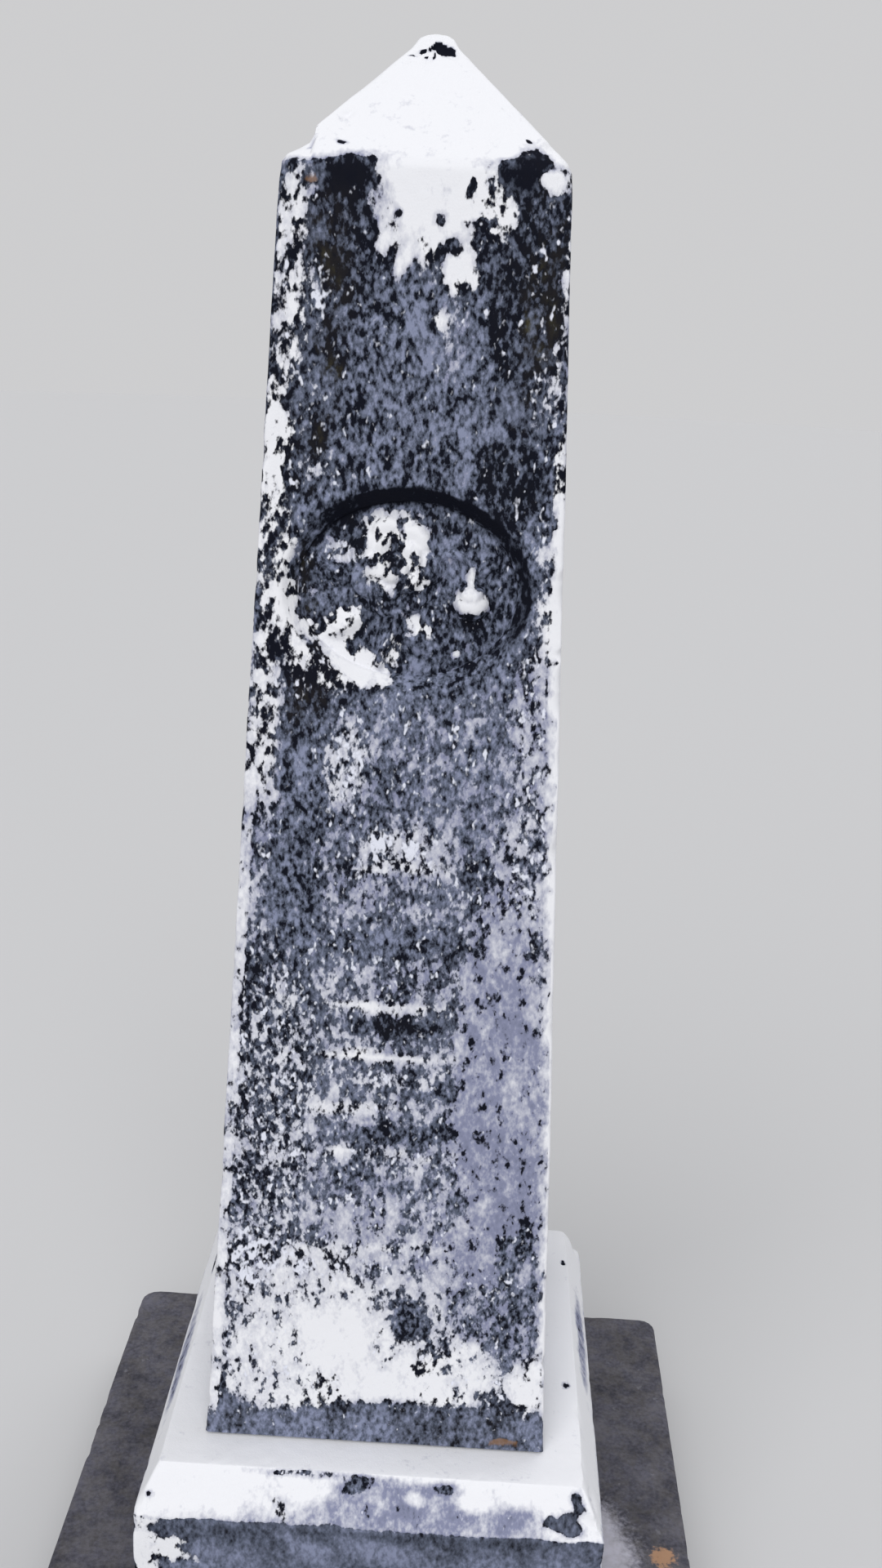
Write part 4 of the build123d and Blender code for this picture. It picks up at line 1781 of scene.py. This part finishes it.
def lime_mortar(groups, colours):
    """Sandy lime mortar, darker where it has crumbled back."""
    material, tree, shader, vector = new_material("Lime mortar", colours.mortar)
    sand = maths(tree, "MULTIPLY", speckle(tree, groups, vector, 0.0016, 2.0), 0.3)
    patchy = maths(tree, "MULTIPLY", speckle(tree, groups, vector, 0.03), 0.3)
    shade = ranged(tree, maths(tree, "ADD", sand, patchy), -0.5, 0.5)
    colour = mixed(tree, shade, rgba(times(0.35, colours.mortar)), rgba(colours.mortar))
    crumbled = ranged(tree, field(tree, "hollow"), 0.3, 1.2, 0.0, 0.7)
    colour = mixed(tree, crumbled, colour, rgba(CRUMBLED))

    shader.inputs["Roughness"].default_value = 0.92
    close_shader(tree, shader, colour, grain(tree, groups, vector, 0.0018), 1.0, 0.0012)
    return material


GROUP_MAKERS = {"Speckle": speckle_group, "Blots": blot_group, "Stone grain": grain_group, "Dust": dust_group}
MATERIAL_MAKERS = {"Weathered marble": lichen_marble, "Grey stone": grey_stone, "Lime mortar": lime_mortar}


def finish(name):
    """The named material, made with the shared node groups when it is first asked for."""
    if name in bpy.data.materials:
        return bpy.data.materials[name]
    kept = bpy.data.node_groups
    groups = {label: kept.get(label) or make() for label, make in GROUP_MAKERS.items()}
    return MATERIAL_MAKERS[name](groups, bpy.context.scene.headstone.finish)


# Stage

FLOOR_RINGS = (0.8, 3, 8, 20)
FLOOR_SPOKES = 64
SKY = (0.97, 0.98, 1.0)
BACKDROP_STRENGTH = 0.99

# The camera of the photograph, in metres and degrees
CAMERA_PLACE = (0.063, -1.445, 1.5205)
CAMERA_YAW = -1.14
CAMERA_PITCH = 18.37
CAMERA_ROLL = 2.715
SENSOR_WIDTH = 36


def make_floor(settings):
    """A round floor of 40 m, a disc of rings and spokes."""
    radii = np.array(FLOOR_RINGS)
    turns = np.linspace(0, 2 * pi, FLOOR_SPOKES, endpoint=False)
    rings = np.stack([np.outer(radii, np.cos(turns)), np.outer(radii, np.sin(turns))], axis=-1)
    flat = np.concatenate([[(0.0, 0.0)], rings.reshape(-1, 2)])
    vertices = np.concatenate([flat, np.zeros((len(flat), 1))], axis=1)
    index = 1 + np.arange(radii.size * turns.size).reshape(radii.size, -1)
    after = np.roll(index, -1, axis=1)
    faces = np.stack([index[:-1], index[1:], after[1:], after[:-1]], axis=-1).reshape(-1, 4)
    hub = np.stack([np.zeros(turns.size, int), index[0], after[0]], axis=-1)
    mesh = bpy.data.meshes.new("Floor")
    mesh.from_pydata(vertices.tolist(), [], faces.tolist() + hub.tolist())
    material, _, shader, _ = new_material("Floor", settings.floor)
    shader.inputs["Base Color"].default_value = rgba(settings.floor)
    shader.inputs["Roughness"].default_value = 0.9
    mesh.materials.append(material)
    floor = bpy.data.objects.new("Floor", mesh)
    bpy.context.scene.collection.objects.link(floor)


def make_lights(scene, settings):
    """An even sky that the camera sees in the floor's colour, and wide soft lights over the front
    and over the back."""
    world = bpy.data.worlds.new("Studio")
    scene.world = world
    world.use_nodes = True
    tree = world.node_tree
    tree.nodes.clear()
    path = tree.nodes.new("ShaderNodeLightPath").outputs
    seen = maths(tree, "MAXIMUM", path["Is Camera Ray"], path["Is Glossy Ray"])
    seen = maths(tree, "MAXIMUM", seen, path["Is Transmission Ray"])
    sky = add(tree, "Background", {"Color": rgba(SKY), "Strength": settings.sky})
    backdrop = add(tree, "Background", {"Color": rgba(settings.floor), "Strength": BACKDROP_STRENGTH})
    both = add(tree, "MixShader", {0: seen, 1: sky.outputs[0], 2: backdrop.outputs[0]})
    output = tree.nodes.new("ShaderNodeOutputWorld")
    tree.links.new(both.outputs[0], output.inputs["Surface"])

    for name, strength, spread, towards in (
        ("Key", settings.key, 55, (0.15, 0.95, -0.9)),
        ("Fill", settings.fill, 70, (-0.6, -0.8, -0.9)),
    ):
        lamp = bpy.data.lights.new(name, "SUN")
        lamp.energy = strength
        lamp.angle = radians(spread)
        sun = bpy.data.objects.new(name, lamp)
        sun.matrix_world = Vector(towards).to_track_quat("-Z", "Y").to_matrix().to_4x4()
        scene.collection.objects.link(sun)


def make_camera(scene, settings):
    """The camera of the photograph: turned by yaw, then pitched down, then rolled."""
    yaw, pitch, roll = radians(CAMERA_YAW), radians(CAMERA_PITCH), radians(CAMERA_ROLL)
    forward = np.array([sin(yaw), cos(yaw), 0])
    right = np.array([cos(yaw), -sin(yaw), 0])
    upright = np.array([0, 0, 1.0])
    ahead = forward * cos(pitch) - upright * sin(pitch)
    over = upright * cos(pitch) + forward * sin(pitch)
    side = right * cos(roll) + over * sin(roll)
    top = over * cos(roll) - right * sin(roll)
    lens = bpy.data.cameras.new("Camera")
    lens.lens = settings.lens
    lens.sensor_width = SENSOR_WIDTH
    camera = bpy.data.objects.new("Camera", lens)
    turn = Matrix(np.stack([side, top, -ahead], axis=1).tolist()).to_4x4()
    camera.matrix_world = Matrix.Translation(CAMERA_PLACE) @ turn
    scene.collection.objects.link(camera)
    scene.camera = camera


# Operators


class HEADSTONE_OT_shaft(bpy.types.Operator):
    """Make the shaft with its cap, sunk panel and relief"""

    bl_idname = "headstone.shaft"
    bl_label = "Shaft"

    def execute(self, context):
        make_shaft(context.scene.headstone.shaft, finish("Weathered marble"))
        return {"FINISHED"}


class HEADSTONE_OT_base(bpy.types.Operator):
    """Make the washed base"""

    bl_idname = "headstone.base"
    bl_label = "Base"

    def execute(self, context):
        make_base(context.scene.headstone.base, finish("Weathered marble"))
        return {"FINISHED"}


class HEADSTONE_OT_foundation(bpy.types.Operator):
    """Make the foundation stone"""

    bl_idname = "headstone.foundation"
    bl_label = "Foundation stone"

    def execute(self, context):
        make_foundation(context.scene.headstone.foundation, finish("Grey stone"))
        return {"FINISHED"}


class HEADSTONE_OT_beds(bpy.types.Operator):
    """Make the two mortar beds"""

    bl_idname = "headstone.beds"
    bl_label = "Mortar beds"

    def execute(self, context):
        mortar = finish("Lime mortar")
        make_bed("Foundation_bed", "foundation_mortar_bed", 5, 3.0 * MM, mortar, 51)
        make_bed("Shaft_bed", "shaft_setting_bed", 3, 1.2 * MM, mortar, 57)
        return {"FINISHED"}


class HEADSTONE_OT_stage(bpy.types.Operator):
    """Make the floor, the lights and the camera"""

    bl_idname = "headstone.stage"
    bl_label = "Stage"

    def execute(self, context):
        scene = context.scene
        settings = scene.headstone.stage
        make_floor(settings)
        make_lights(scene, settings)
        make_camera(scene, settings)
        scene.view_settings.view_transform = "Standard"
        return {"FINISHED"}


class HEADSTONE_PT_panel(bpy.types.Panel):
    """Sizes, colours and the operators that make each piece"""

    bl_label = "Obelisk headstone"
    bl_idname = "HEADSTONE_PT_panel"
    bl_space_type = "VIEW_3D"
    bl_region_type = "UI"
    bl_category = "Headstone"

    def draw(self, context):
        settings = context.scene.headstone
        groups = (
            (settings.foundation, "headstone.foundation"),
            (settings.base, "headstone.base"),
            (settings.shaft, "headstone.shaft"),
            (None, "headstone.beds"),
            (settings.stage, "headstone.stage"),
            (settings.finish, None),
        )
        for values, operator in groups:
            box = self.layout.box()
            if operator:
                box.operator(operator)
            for name in values.__annotations__ if values else ():
                box.prop(values, name)


CLASSES = (
    ShaftSettings,
    BaseSettings,
    FoundationSettings,
    FinishSettings,
    StageSettings,
    HeadstoneSettings,
    HEADSTONE_OT_shaft,
    HEADSTONE_OT_base,
    HEADSTONE_OT_foundation,
    HEADSTONE_OT_beds,
    HEADSTONE_OT_stage,
    HEADSTONE_PT_panel,
)


def register():
    for cls in CLASSES:
        bpy.utils.register_class(cls)
    bpy.types.Scene.headstone = PointerProperty(type=HeadstoneSettings)


def unregister():
    del bpy.types.Scene.headstone
    for cls in reversed(CLASSES):
        bpy.utils.unregister_class(cls)


def main():
    register()
    bpy.ops.headstone.foundation()
    bpy.ops.headstone.beds()
    bpy.ops.headstone.base()
    bpy.ops.headstone.shaft()
    bpy.ops.headstone.stage()
    bpy.context.view_layer.update()


if __name__ == "__main__":
    main()
